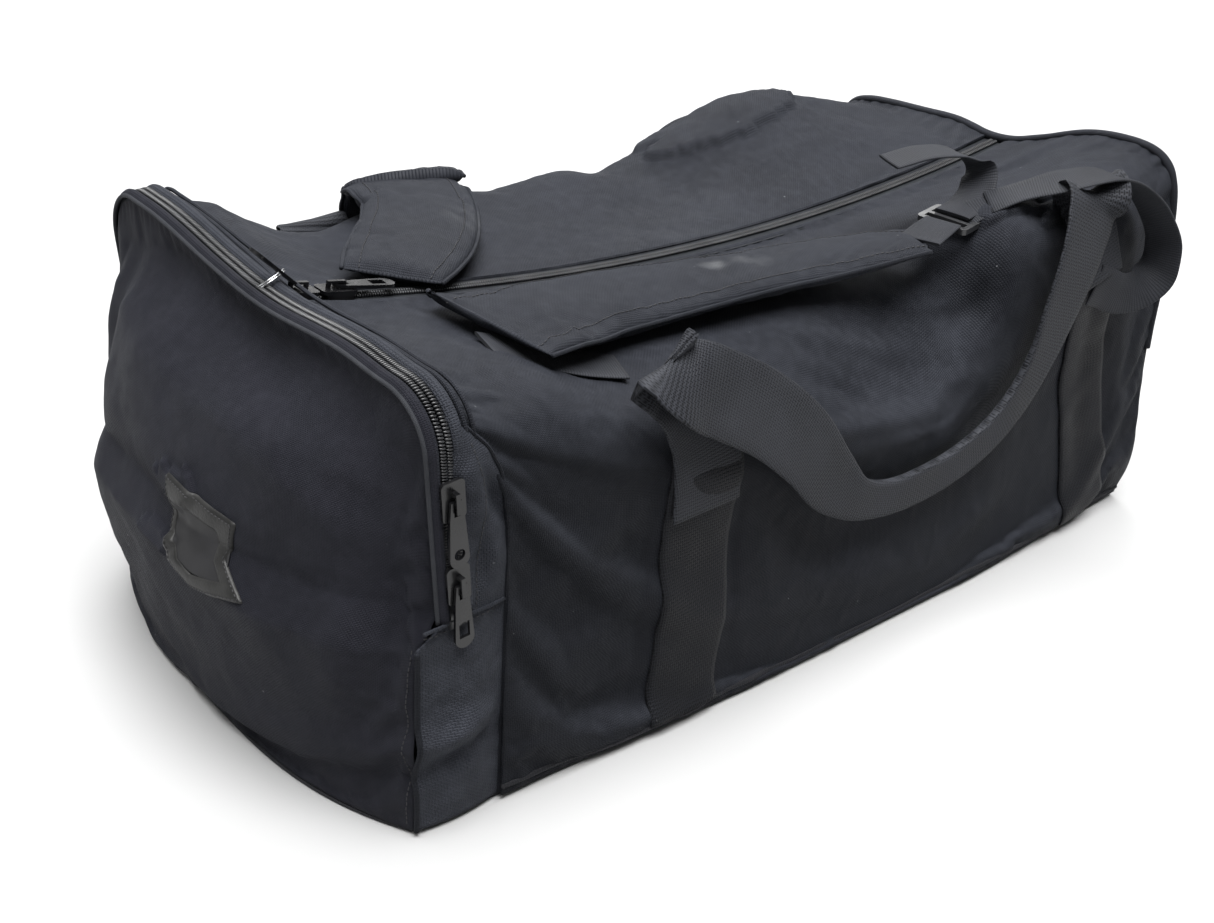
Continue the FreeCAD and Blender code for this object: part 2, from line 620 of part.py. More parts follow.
def make_front_adjuster():
    loop = [
        ((212, -166.0, 192), (0, 0, 1), (0, -1, 0), THIN_WEB_W, THIN_WEB_T),
        ((250, -169, 184), (0, 0.05, 1), (0, -1, 0.05), THIN_WEB_W, THIN_WEB_T),
        ((282, -174, 186), (0, 0.35, 1), (-0.2, -1, 0.35), THIN_WEB_W, THIN_WEB_T),
        ((299, -177, 200), (0.1, 0.8, 0.6), (-0.9, -0.1, 0.5), THIN_WEB_W, THIN_WEB_T),
        ((301, -175, 220), (0, 1, 0.2), (-1, 0, 0), THIN_WEB_W, THIN_WEB_T),
        ((286, -168, 241), (0, 1, 0), (-0.7, 0, -0.7), THIN_WEB_W, THIN_WEB_T),
        ((254, -161, 257), (0, 1, 0), (-0.2, 0, -1), THIN_WEB_W, THIN_WEB_T),
        ((204, -160, 263), (0, 1, 0), (0, 0, -1), THIN_WEB_W, THIN_WEB_T),
        ((168, -158, 258), (0, 1, 0), (0, 0, -1), THIN_WEB_W, THIN_WEB_T),
    ]
    put("front_adjuster_webbing", ribbon(loop))
    upper = [
        (on_top(152, -123, 18), (0, 1, 0), (0, 0, 1), 26, THIN_WEB_T),
        (on_top(136, -118, 12), (0, 1, 0), (0, 0, 1), 26, THIN_WEB_T),
    ]
    put("front_adjuster_end", ribbon(upper))


def make_rear_strap():
    rise = PAD_T / 2 + 5.6
    route = [
        (on_top(-219, 14, rise + 3), 56.0),
        (on_top(-180, 52, rise + 1), 70.0),
        (on_top(-150, 88, rise + 1), 74.0),
        (on_top(-136, 102, rise + 1), 74.0),
    ]
    put("rear_pad_top", ribbon(pad_stations(route, PAD_T)))
    anchor = [((-214, 34, top_z(-214, 34) + 1.5), (0.3, 1, 0.1), (0, 0, 1), 34, 1.4),
              ((-196, 42, top_z(-196, 42) + 1.5), (0.3, 1, 0.1), (0, 0, 1), 34, 1.4)]
    put("rear_strap_anchor", ribbon(anchor))
    y = HALF_WIDTH + 4.0 + PAD_T / 2
    drop = [
        ((-112, y - 1.0, 214), (1, 0, 0), (0, 1, 0), 82, PAD_T),
        ((-110, y + 1.5, 180), (1, 0, 0), (0, 1, 0), 76, PAD_T),
        ((-106, y + 1.5, 140), (1, 0, 0), (0, 1, 0), 58, PAD_T),
        ((-104, y + 0.5, 126), (1, 0, 0), (0, 1, 0), 48, PAD_T),
    ]
    put("rear_pad_drop", ribbon(drop))
    ladder = place(buckle_plate(), (-98, HALF_WIDTH + 5.0, 109), (0.3, 0, -1), (0, 1, 0))
    put("rear_buckle", ladder)
    run = [
        ((-78, HALF_WIDTH + 3.2, 100), (0.15, 0, 1), (0, 1, 0), THIN_WEB_W, THIN_WEB_T),
        ((60, HALF_WIDTH + 3.2, 74), (0.2, 0, 1), (0, 1, 0), THIN_WEB_W, THIN_WEB_T),
        ((140, HALF_WIDTH + 4.2, 60), (0.2, 0, 1), (0, 1, 0), THIN_WEB_W, THIN_WEB_T),
        ((285, HALF_WIDTH + 3.2, 34), (0.2, 0, 1), (0, 1, 0), THIN_WEB_W, THIN_WEB_T),
    ]
    put("rear_adjuster_webbing", ribbon(run))
    tail = [
        ((-96, HALF_WIDTH + 8.6, 96), (1, 0, 0.2), (0, 1, 0), 25, THIN_WEB_T),
        ((-90, HALF_WIDTH + 9.0, 64), (1, 0, 0.2), (0, 1, 0), 25, THIN_WEB_T),
        ((-80, HALF_WIDTH + 7.0, 30), (1, 0, 0.3), (0, 1, 0), 25, THIN_WEB_T),
    ]
    put("rear_strap_tail", ribbon(tail))


make_body()
make_bridges()
make_main_zip()
make_main_sliders()
make_end_zip()
make_end_sliders()
make_end_flap()
make_id_window()
make_handles()
make_front_strap()
make_front_adjuster()
make_rear_strap()

for name, shape in PARTS.items():
    shape.exportStep("parts/" + name + ".step")
print(len(PARTS), "nodes")
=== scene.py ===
import math

import bmesh
import bpy
import numpy as np
from mathutils import Matrix, Vector, noise
from mathutils.bvhtree import BVHTree


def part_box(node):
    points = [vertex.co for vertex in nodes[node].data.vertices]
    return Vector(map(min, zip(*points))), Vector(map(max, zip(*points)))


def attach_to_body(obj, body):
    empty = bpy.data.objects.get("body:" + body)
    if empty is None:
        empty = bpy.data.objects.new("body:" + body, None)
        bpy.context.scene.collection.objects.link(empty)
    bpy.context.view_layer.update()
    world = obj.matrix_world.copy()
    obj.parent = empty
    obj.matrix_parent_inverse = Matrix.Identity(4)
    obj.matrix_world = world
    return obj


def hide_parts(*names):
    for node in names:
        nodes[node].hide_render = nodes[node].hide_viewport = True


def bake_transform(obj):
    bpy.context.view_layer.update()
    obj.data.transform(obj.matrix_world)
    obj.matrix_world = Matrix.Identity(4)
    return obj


# Looks of the duffel bag. Tables are in millimetres on the frame's axes; meshes are made in metres.

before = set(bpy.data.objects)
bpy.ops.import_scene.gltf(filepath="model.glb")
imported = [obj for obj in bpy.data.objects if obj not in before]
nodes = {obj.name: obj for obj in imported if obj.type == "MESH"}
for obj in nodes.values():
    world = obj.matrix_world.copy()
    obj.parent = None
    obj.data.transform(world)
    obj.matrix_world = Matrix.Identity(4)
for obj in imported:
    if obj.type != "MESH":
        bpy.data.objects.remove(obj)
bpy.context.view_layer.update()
MM = 0.001

# ------------------------------------------------------------------ camera, lights, world

YAW, PITCH, ROLL = math.radians(42.01), math.radians(28.97), math.radians(-4.28)
CAMERA_PLACE = Vector((-0.640, -0.645, 0.5464))
LENS, SENSOR = 44.57, 36.0
forward = Vector((math.sin(YAW) * math.cos(PITCH), math.cos(YAW) * math.cos(PITCH), -math.sin(PITCH)))
level = Vector((math.cos(YAW), -math.sin(YAW), 0))
drop = forward.cross(level)
right = level * math.cos(ROLL) + drop * math.sin(ROLL)
down = -level * math.sin(ROLL) + drop * math.cos(ROLL)
camera_data = bpy.data.cameras.new("camera")
camera_data.lens = LENS
camera_data.sensor_width = SENSOR
camera_data.clip_start, camera_data.clip_end = 0.01, 50
camera = bpy.data.objects.new("camera", camera_data)
camera.matrix_world = Matrix((
    (right.x, -down.x, -forward.x, CAMERA_PLACE.x),
    (right.y, -down.y, -forward.y, CAMERA_PLACE.y),
    (right.z, -down.z, -forward.z, CAMERA_PLACE.z),
    (0, 0, 0, 1),
))
bpy.context.scene.collection.objects.link(camera)
bpy.context.scene.camera = camera


def area_light(name, place, aim, size, watts):
    data = bpy.data.lights.new(name, "AREA")
    data.shape = "DISK"
    data.size = size
    data.energy = watts
    lamp = bpy.data.objects.new(name, data)
    lamp.location = place
    lamp.rotation_mode = "QUATERNION"
    lamp.rotation_quaternion = (Vector(aim) - Vector(place)).to_track_quat("-Z", "Y")
    bpy.context.scene.collection.objects.link(lamp)


area_light("light_back", (1.3, 1.7, 1.9), (0.0, 0.0, 0.1), 2.2, 40)
area_light("light_left", (-2.4, -0.3, 1.2), (-0.3, 0.0, 0.15), 1.2, 6)
sun_data = bpy.data.lights.new("light_top", "SUN")
sun_data.energy = 8.4
sun_data.angle = math.radians(48)
sun = bpy.data.objects.new("light_top", sun_data)
sun.rotation_mode = "QUATERNION"
sun.rotation_quaternion = Vector((0.05, 0.14, -1.0)).to_track_quat("-Z", "Y")
bpy.context.scene.collection.objects.link(sun)
world = bpy.data.worlds.new("world")
world.use_nodes = True
world.node_tree.nodes["Background"].inputs["Color"].default_value = (1, 1, 1, 1)
world.node_tree.nodes["Background"].inputs["Strength"].default_value = 0.18
bpy.context.scene.world = world
bpy.context.scene.view_settings.view_transform = "Standard"


# ------------------------------------------------------------------ materials

class Graph:
    """Short calls for making a node material."""

    def __init__(self, name, color, rough, **sockets):
        self.mat = bpy.data.materials.new(name)
        self.mat.use_nodes = True
        self.tree = self.mat.node_tree
        self.bsdf = self.tree.nodes["Principled BSDF"]
        self.bsdf.inputs["Base Color"].default_value = (*color, 1)
        self.bsdf.inputs["Roughness"].default_value = rough
        for key, value in sockets.items():
            self.bsdf.inputs[key.replace("_", " ")].default_value = value
        self.color = color
        self.uv = self.tree.nodes.new("ShaderNodeTexCoord").outputs["UV"]
        self.place = self.tree.nodes.new("ShaderNodeNewGeometry").outputs["Position"]
        self.object = self.tree.nodes.new("ShaderNodeTexCoord").outputs["Object"]
        self.bump = None

    def link(self, a, b):
        self.tree.links.new(a, b)

    def math(self, kind, a, b=None, c=None, clamp=False):
        node = self.tree.nodes.new("ShaderNodeMath")
        node.operation = kind
        node.use_clamp = clamp
        for i, v in enumerate((a, b, c)):
            if v is None:
                continue
            if isinstance(v, (int, float)):
                node.inputs[i].default_value = v
            else:
                self.link(v, node.inputs[i])
        return node.outputs[0]

    def noise(self, vector, scale, detail=2.0, rough=0.5):
        node = self.tree.nodes.new("ShaderNodeTexNoise")
        node.inputs["Scale"].default_value = scale
        node.inputs["Detail"].default_value = detail
        node.inputs["Roughness"].default_value = rough
        self.link(vector, node.inputs["Vector"])
        return node.outputs["Fac"]

    def split(self, vector):
        node = self.tree.nodes.new("ShaderNodeSeparateXYZ")
        self.link(vector, node.inputs[0])
        return node.outputs

    def ramp(self, fac, lo, hi, a=0.0, b=1.0):
        node = self.tree.nodes.new("ShaderNodeMapRange")
        node.clamp = True
        self.link(fac, node.inputs["Value"])
        for key, v in (("From Min", lo), ("From Max", hi), ("To Min", a), ("To Max", b)):
            node.inputs[key].default_value = v
        return node.outputs["Result"]

    def mix(self, fac, a, b):
        node = self.tree.nodes.new("ShaderNodeMix")
        node.data_type = "RGBA"
        self.link(fac, node.inputs["Factor"])
        for key, v in (("A", a), ("B", b)):
            socket = [s for s in node.inputs if s.name == key and s.type == "RGBA"][0]
            if isinstance(v, tuple):
                socket.default_value = (*v, 1)
            else:
                self.link(v, socket)
        return [s for s in node.outputs if s.type == "RGBA"][0]

    def add_bump(self, height, strength, distance):
        node = self.tree.nodes.new("ShaderNodeBump")
        node.inputs["Strength"].default_value = strength
        node.inputs["Distance"].default_value = distance
        self.link(height, node.inputs["Height"])
        if self.bump is not None:
            self.link(self.bump, node.inputs["Normal"])
        self.bump = node.outputs["Normal"]

    def weave(self, pitch_u, pitch_v, twist=0.0):
        """Height of a plain weave over the UV map, which is in metres."""
        x, y, _ = self.split(self.uv)
        warble = self.noise(self.uv, 90.0, 1.0)
        x = self.math("ADD", x, self.math("MULTIPLY", warble, pitch_u * 0.6))
        u = self.math("MULTIPLY", x, math.pi / pitch_u)
        v = self.math("MULTIPLY", y, math.pi / pitch_v)
        if twist:
            v = self.math("ADD", v, self.math("MULTIPLY", u, twist))
        su, sv = self.math("SINE", u), self.math("SINE", v)
        over = self.ramp(self.math("MULTIPLY", self.math("COSINE", u), self.math("COSINE", v)), -0.2, 0.2)
        a = self.math("MULTIPLY", self.math("ABSOLUTE", su), over)
        b = self.math("MULTIPLY", self.math("ABSOLUTE", sv), self.math("SUBTRACT", 1.0, over))
        return self.math("ADD", a, b)

    def done(self, color=None, rough=None):
        if color is not None:
            self.link(color, self.bsdf.inputs["Base Color"])
        if rough is not None:
            self.link(rough, self.bsdf.inputs["Roughness"])
        if self.bump is not None:
            self.link(self.bump, self.bsdf.inputs["Normal"])
        return self.mat


SMUDGES = [((-42, -62, 225), 11, 0.9), ((-20, -70, 226), 16, 0.45), ((-125, 62, 236), 26, 0.5),
           ((0, 30, 212), 60, 0.10), ((-250, -60, 234), 40, 0.10), ((-365, 60, 170), 40, 0.12),
           ((60, 60, 220), 50, 0.1)]


def fabric(name, dark, light, pitch=1.1, sheen=0.03, rough=0.6, lint=1.0, crinkle=0.25, smudges=True,
        painted_light_by_facing=(1, 1)):
    """Woven polyester: yarns, uneven dye, lint specks, dusty patches and soft crinkles; when asked, painted
    light on upward faces and painted shade on the walls.
    """
    g = Graph(name, dark, rough, Sheen_Weight=sheen, Sheen_Roughness=0.45, Specular_IOR_Level=0.08)
    g.bsdf.inputs["Sheen Tint"].default_value = (0.72, 0.78, 0.9, 1)
    yarn = g.weave(pitch * MM, pitch * MM)
    x, y, _ = g.split(g.uv)
    diagonal = g.math("SINE", g.math("MULTIPLY", g.math("ADD", x, y), 2 * math.pi / (pitch * 2.0 * MM)))
    twill = g.math("MULTIPLY", g.math("ADD", diagonal, 1.0), 0.5)
    cloud = g.noise(g.place, 14.0, 3.0)
    streak = g.noise(g.place, 160.0, 2.0)
    tone = g.math("ADD", g.math("MULTIPLY", yarn, 0.42), g.math("MULTIPLY", twill, 0.16))
    tone = g.math("ADD", tone, g.ramp(cloud, 0.35, 0.7, 0.0, 0.24))
    tone = g.math("ADD", tone, g.ramp(streak, 0.4, 0.75, 0.0, 0.22), clamp=True)
    # painted light and shade: the tone is scaled by how far the normal faces up, so tops come out lighter and
    # walls darker
    if painted_light_by_facing != (1, 1):
        facing = g.tree.nodes.new("ShaderNodeNewGeometry")
        upward = g.split(facing.outputs["Normal"])[2]
        tone = g.math("MULTIPLY", tone, g.ramp(upward, 0.12, 0.75, *painted_light_by_facing))
    color = g.mix(tone, dark, light)
    speck = g.tree.nodes.new("ShaderNodeTexVoronoi")
    speck.inputs["Scale"].default_value = 62.0
    speck.inputs["Randomness"].default_value = 1.0
    g.link(g.place, speck.inputs["Vector"])
    rare = g.ramp(g.noise(g.place, 37.0, 0.0), 0.60, 0.63)
    dot = g.math("MULTIPLY", g.ramp(speck.outputs["Distance"], 0.05, 0.028), rare)
    color = g.mix(g.math("MULTIPLY", dot, 0.30 * lint), color, (0.42, 0.43, 0.45))
    if smudges:
        total = None
        for centre, radius, amount in SMUDGES:
            node = g.tree.nodes.new("ShaderNodeVectorMath")
            node.operation = "DISTANCE"
            g.link(g.object, node.inputs[0])
            node.inputs[1].default_value = [c * MM for c in centre]
            near = g.ramp(node.outputs["Value"], radius * MM, radius * 0.12 * MM, 0.0, amount)
            total = near if total is None else g.math("MAXIMUM", total, near)
        rub = g.ramp(g.noise(g.object, 75.0, 4.0, 0.65), 0.38, 0.72)
        color = g.mix(g.math("MULTIPLY", g.math("MULTIPLY", total, rub), 0.55), color, (0.20, 0.205, 0.21))
    g.add_bump(g.noise(g.place, 42.0, 3.0, 0.5), crinkle, 0.0022)
    g.add_bump(yarn, 0.9, pitch * 0.36 * MM)
    roughness = g.ramp(cloud, 0.3, 0.7, rough - 0.08, rough + 0.1)
    return g.done(color, roughness)


def webbing(name, dark, light, pitch_u, pitch_v, depth=0.35):
    g = Graph(name, dark, 0.62, Sheen_Weight=0.03, Sheen_Roughness=0.4, Specular_IOR_Level=0.12)
    yarn = g.weave(pitch_u * MM, pitch_v * MM, 0.12)
    cloud = g.noise(g.place, 30.0, 3.0)
    tone = g.math("ADD", g.ramp(yarn, 0.25, 0.95, 0.0, 0.75), g.ramp(cloud, 0.35, 0.7, 0.0, 0.3),
        clamp=True)
    g.add_bump(g.noise(g.uv, 900.0, 2.0), 0.25, 0.0002)
    g.add_bump(yarn, 0.85, depth * MM)
    return g.done(g.mix(tone, dark, light), g.ramp(cloud, 0.3, 0.7, 0.5, 0.72))


def ribbed(name, dark, light, pitch):
    """Thin strap webbing: ribs across its length."""
    g = Graph(name, dark, 0.6, Sheen_Weight=0.03, Specular_IOR_Level=0.12)
    x, y, _ = g.split(g.uv)
    rib = g.math("ABSOLUTE", g.math("SINE", g.math("MULTIPLY", x, math.pi / (pitch * MM))))
    thread = g.math("ABSOLUTE", g.math("SINE", g.math("MULTIPLY", y, math.pi / (1.3 * MM))))
    height = g.math("ADD", g.math("MULTIPLY", rib, 0.7), g.math("MULTIPLY", thread, 0.3))
    cloud = g.noise(g.place, 40.0, 3.0)
    tone = g.math("ADD", g.math("MULTIPLY", height, 0.7), g.ramp(cloud, 0.35, 0.7, 0.0, 0.3), clamp=True)
    g.add_bump(height, 0.8, 0.3 * MM)
    return g.done(g.mix(tone, dark, light), g.ramp(cloud, 0.3, 0.7, 0.5, 0.7))


def plastic(name, color, rough, grain=0.15, scale=600.0, coat=0.0, metallic=0.0, spread=0.12):
    g = Graph(name, color, rough, Metallic=metallic, Coat_Weight=coat, Coat_Roughness=0.08)
    fine = g.noise(g.object, scale, 3.0)
    broad = g.noise(g.object, 70.0, 3.0)
    lighter = tuple(min(c * 1.9 + 0.006, 1.0) for c in color)
    g.add_bump(fine, grain, 0.0002)
    return g.done(g.mix(g.ramp(broad, 0.45, 0.8), color, lighter),
        g.ramp(broad, 0.3, 0.7, rough - spread / 2, rough + spread))


def leatherette(name):
    g = Graph(name, (0.02, 0.02, 0.021), 0.5, Coat_Weight=0.03, Coat_Roughness=0.4, Specular_IOR_Level=0.2)
    cells = g.tree.nodes.new("ShaderNodeTexVoronoi")
    cells.inputs["Scale"].default_value = 750.0
    g.link(g.object, cells.inputs["Vector"])
    broad = g.noise(g.object, 60.0, 4.0)
    g.add_bump(broad, 0.5, 0.0012)
    g.add_bump(cells.outputs["Distance"], 0.4, 0.00025)
    return g.done(g.mix(g.ramp(broad, 0.4, 0.75), (0.014, 0.014, 0.0138), (0.028, 0.028, 0.0273)),
                  g.ramp(broad, 0.3, 0.7, 0.34, 0.55))


M = {
    # oxford cloth: lighter tone painted on its top faces and darker on its walls, standing in for light and
    # shade
    "oxford_cloth": fabric("oxford_cloth", (0.0042, 0.0046, 0.0064), (0.0265, 0.0285, 0.0355), crinkle=0.45,
        painted_light_by_facing=(0.3, 1.3)),
    "end_cloth": fabric("end_cloth", (0.0042, 0.0044, 0.0066), (0.0175, 0.0178, 0.0240), pitch=0.9,
        crinkle=0.45),
    "gusset_cloth": fabric("gusset_cloth", (0.010, 0.011, 0.014), (0.040, 0.043, 0.053), pitch=1.3,
        crinkle=0.3),
    "pad_cloth": fabric("pad_cloth", (0.0065, 0.0071, 0.0095), (0.032, 0.0343, 0.042), pitch=1.1,
        crinkle=0.4),
    "base_cloth": fabric("base_cloth", (0.012, 0.012, 0.014), (0.03, 0.03, 0.033), pitch=1.6, rough=0.6,
        smudges=False),
    "lining_cloth": fabric("lining_cloth", (0.02, 0.021, 0.024), (0.045, 0.047, 0.052), pitch=0.8,
        rough=0.6,
                           sheen=0.2, smudges=False),
    "zip_tape": fabric("zip_tape", (0.010, 0.011, 0.013), (0.03, 0.032, 0.036), pitch=0.7, crinkle=0.1,
        smudges=False),
    "edge_piping": fabric("edge_piping", (0.014, 0.015, 0.018), (0.045, 0.047, 0.053), pitch=0.7,
        crinkle=0.2,
                          smudges=False),
    "handle_webbing": webbing("handle_webbing", (0.004, 0.0043, 0.0055), (0.034, 0.036, 0.0425), 2.1, 1.5),
    # legs: a darker copy of the handle webbing, painted shade for the handle's and pad's shadow over them
    "shaded_leg_webbing": webbing("shaded_leg_webbing", (0.0012, 0.0013, 0.0018), (0.0115, 0.0122, 0.0152), 2.1, 1.5),
    "strap_webbing": ribbed("strap_webbing", (0.004, 0.0043, 0.0055), (0.034, 0.036, 0.0425), 1.5),
    "thread": plastic("thread", (0.012, 0.012, 0.014), 0.55, grain=0.5, scale=2500.0),
    "zip_coil": plastic("zip_coil", (0.012, 0.0125, 0.014), 0.34, grain=0.1, scale=1500.0, coat=0.08),
    "zip_metal": plastic("zip_metal", (0.0025, 0.0025, 0.003), 0.24, grain=0.06, scale=350.0, coat=0.08,
        spread=0.1),
    "ring_chrome": plastic("ring_chrome", (0.62, 0.63, 0.65), 0.16, grain=0.05, scale=500.0, metallic=1.0),
    "window_leatherette": leatherette("window_leatherette"),
    "window_film": plastic("window_film", (0.003, 0.003, 0.004), 0.6, grain=0.35, scale=90.0),
    "buckle_plastic": plastic("buckle_plastic", (0.016, 0.0165, 0.018), 0.32, grain=0.1, scale=700.0,
        coat=0.25),
    "board_plastic": plastic("board_plastic", (0.02, 0.02, 0.021), 0.5, grain=0.4, scale=300.0),
}


# ------------------------------------------------------------------ shape helpers

def spline(xs, ys, x):
    """Smooth curve through (xs, ys) at each x; ys may have more axes."""
    xs, ys, x = np.asarray(xs, float), np.asarray(ys, float), np.asarray(x, float)
    tail = (1,) * (ys.ndim - 1)
    h = np.diff(xs).reshape((-1,) + tail)
    d = np.diff(ys, axis=0) / h
    m = np.concatenate([d[:1], (h[1:] * d[:-1] + h[:-1] * d[1:]) / (h[1:] + h[:-1]), d[-1:]])
    i = np.clip(np.searchsorted(xs, x, side="right") - 1, 0, len(xs) - 2)
    hi = (xs[i + 1] - xs[i]).reshape((-1,) + tail)
    t = ((x - xs[i]).reshape((-1,) + tail)) / hi
    return ((2 * t**3 - 3 * t**2 + 1) * ys[i] + (t**3 - 2 * t**2 + t) * hi * m[i]
            + (3 * t**2 - 2 * t**3) * ys[i + 1] + (t**3 - t**2) * hi * m[i + 1])


def smooth(t):
    t = np.clip(t, 0, 1)
    return t * t * (3 - 2 * t)


def unit(v):
    v = np.asarray(v, float)
    return v / np.maximum(np.linalg.norm(v, axis=-1, keepdims=True), 1e-9)


def grid_normals(p):
    return unit(np.cross(np.gradient(p, axis=0), np.gradient(p, axis=1)))


def fractal(p, size, seed, octaves=3):
    """Noise of about -1..1 at each point, with features of the given size in mm."""
    out = np.empty(len(p))
    for i, q in enumerate(p / size + seed * 17.3):
        out[i] = noise.fractal(Vector(q), 1.0, 2.0, octaves)
    return out


def new_mesh(name, verts, faces, material, uvs=None, flat_from=None):
    """Object from vertices in mm; uvs is one (u, v) in mm for each vertex."""
    mesh = bpy.data.meshes.new(name)
    verts = np.asarray(verts, float) * MM
    mesh.from_pydata(verts.tolist(), [], [list(map(int, f)) for f in faces])
    smooth_flags = np.ones(len(mesh.polygons), bool)
    if flat_from is not None:
        smooth_flags[flat_from:] = False
    mesh.polygons.foreach_set("use_smooth", smooth_flags)
    if uvs is not None:
        layer = mesh.uv_layers.new(name="UVMap")
        loops = np.empty(len(mesh.loops), np.int32)
        mesh.loops.foreach_get("vertex_index", loops)
        layer.data.foreach_set("uv", (np.asarray(uvs, float)[loops] * MM).astype(np.float32).ravel())
    mesh.materials.append(M[material])
    mesh.validate()
    mesh.update()
    obj = bpy.data.objects.new(name, mesh)
    bpy.context.scene.collection.objects.link(obj)
    return obj


def quads(nu, nv, base=0, flip=False, wrap=False):
    i = np.arange(nu - 1)[:, None]
    j = np.arange(nv if wrap else nv - 1)[None, :]
    k = (j + 1) % nv
    a, b, c, d = i * nv + j, (i + 1) * nv + j, (i + 1) * nv + k, i * nv + k
    f = np.stack([a, d, c, b] if flip else [a, b, c, d], -1).reshape(-1, 4)
    return f + base


def arc_uv(p):
    """Distance along the rows and columns of a grid, as UVs in mm."""
    du = np.linalg.norm(np.diff(p, axis=0), axis=2).mean(1)
    dv = np.linalg.norm(np.diff(p, axis=1), axis=2).mean(0)
    u = np.concatenate([[0], np.cumsum(du)])
    v = np.concatenate([[0], np.cumsum(dv)])
    return np.stack(np.meshgrid(u, v, indexing="ij"), -1)


def sheet_mesh(name, p, material, thick=1.4, outward=1, uv=None):
    """A cloth panel of some thickness from a grid of points on its outer face."""
    nu, nv = p.shape[:2]
    n = grid_normals(p) * outward
    inner = p - n * thick
    uv = arc_uv(p) if uv is None else uv
    verts = np.concatenate([p.reshape(-1, 3), inner.reshape(-1, 3)])
    flip = outward < 0
    faces = [quads(nu, nv, 0, flip), quads(nu, nv, nu * nv, not flip)]
    ring = ([i * nv for i in range(nu)] + [(nu - 1) * nv + j for j in range(1, nv)]
            + [i * nv + nv - 1 for i in range(nu - 2, -1, -1)] + [j for j in range(nv - 2, 0, -1)])
    side = []
    for a, b in zip(ring, ring[1:] + ring[:1]):
        side.append([b, a, a + nu * nv, b + nu * nv] if not flip else [a, b, b + nu * nv, a + nu * nv])
    start = len(faces[0]) * 2
    faces = np.concatenate(faces + [np.array(side)])
    uvs = np.concatenate([uv.reshape(-1, 2)] * 2)
    return new_mesh(name, verts, faces, material, uvs, start)


def frames(centres, across, face, widths, thicks, step):
    """Dense stations along a strap: centre, width direction, face direction, width, thickness, length."""
    c = np.asarray(centres, float)
    s = np.concatenate([[0], np.cumsum(np.linalg.norm(np.diff(c, axis=0), axis=1))])
    n = max(int(s[-1] / step), 2) + 1
    t = np.linspace(0, s[-1], n)
    c = spline(s, c, t)
    a = unit(spline(s, unit(across), t))
    tangent = unit(np.gradient(c, axis=0))
    a = unit(a - tangent * (a * tangent).sum(1, keepdims=True))
    f = unit(np.cross(a, tangent))
    guide = spline(s, unit(face), t)
    f = f * np.sign((f * guide).sum(1))[:, None]
    return c, a, f, spline(s, widths, t), spline(s, thicks, t), t


def ribbon(name, stations, material, step=2.5, crown=0.0, cup=0.0, ripple=0.0, seed=1):
    """A strap with rounded edges through (centre, across, face, width, thick) stations."""
    c, a, f, w, h, t = frames(*[[s[k] for s in stations] for k in range(5)], step)
    v = np.array([-1, -0.985, -0.93, -0.7, -0.4, 0, 0.4, 0.7, 0.93, 0.985, 1])
    top = np.array([0.0, 0.62, 1, 1, 1, 1, 1, 1, 1, 0.62, 0.0])
    vv = np.concatenate([v, v[-2:0:-1]])
    hh = np.concatenate([top, -top[-2:0:-1]])
    wave = ripple * np.sin(t / 7.0 + seed)[:, None] * vv[None, :] ** 2 * np.sign(vv)[None, :]
    lift = crown * (1 - vv**2) + cup * vv**2
    p = (c[:, None] + a[:, None] * (vv[None, :] * w[:, None] / 2)[..., None]
         + f[:, None] * (hh[None, :] * h[:, None] / 2 + lift[None, :] + wave)[..., None])
    nu, nv = p.shape[:2]
    faces = quads(nu, nv, 0, False, True).tolist()
    faces.append(list(range(nv)))
    faces.append([(nu - 1) * nv + j for j in range(nv)][::-1])
    uvs = np.stack([np.repeat(t[:, None], nv, 1), vv[None, :] * w[:, None] / 2], -1).reshape(-1, 2)
    obj = new_mesh(name, p.reshape(-1, 3), faces, material, uvs, len(faces) - 2)
    fix_normals(obj)
    return obj


def fix_normals(obj):
    bm = bmesh.new()
    bm.from_mesh(obj.data)
    bmesh.ops.recalc_face_normals(bm, faces=bm.faces)
    bm.to_mesh(obj.data)
    bm.free()


def tube(name, points, radius, material, sides=8, step=2.0, flatten=1.0):
    p = np.asarray(points, float)
    s = np.concatenate([[0], np.cumsum(np.linalg.norm(np.diff(p, axis=0), axis=1))])
    t = np.linspace(0, s[-1], max(int(s[-1] / step), 2) + 1)
    c = spline(s, p, t)
    tangent = unit(np.gradient(c, axis=0))
    side = [unit(np.cross(tangent[0], (0.13, 0.2, 1.0)))]
    for k in range(1, len(c)):
        b = side[-1] - tangent[k] * np.dot(side[-1], tangent[k])
        side.append(unit(b))
    side = np.array(side)
    other = np.cross(tangent, side)
    ang = np.linspace(0, 2 * math.pi, sides, endpoint=False)
    ring = (side[:, None] * np.cos(ang)[None, :, None] + other[:, None] * np.sin(ang)[None, :,
        None] * flatten)
    v = c[:, None] + ring * radius
    faces = quads(len(c), sides, 0, False, True).tolist()
    faces += [list(range(sides)), [(len(c) - 1) * sides + j for j in range(sides)]]
    uvs = np.stack([np.repeat(t[:, None], sides, 1), np.tile(ang * radius, (len(c), 1))], -1).reshape(-1, 2)
    obj = new_mesh(name, v.reshape(-1, 3), faces, material, uvs)
    fix_normals(obj)
    return obj


CAPSULE_RINGS = [(-1.0, 0.35), (-0.82, 0.85), (0.0, 1.0), (0.82, 0.85), (1.0, 0.35)]


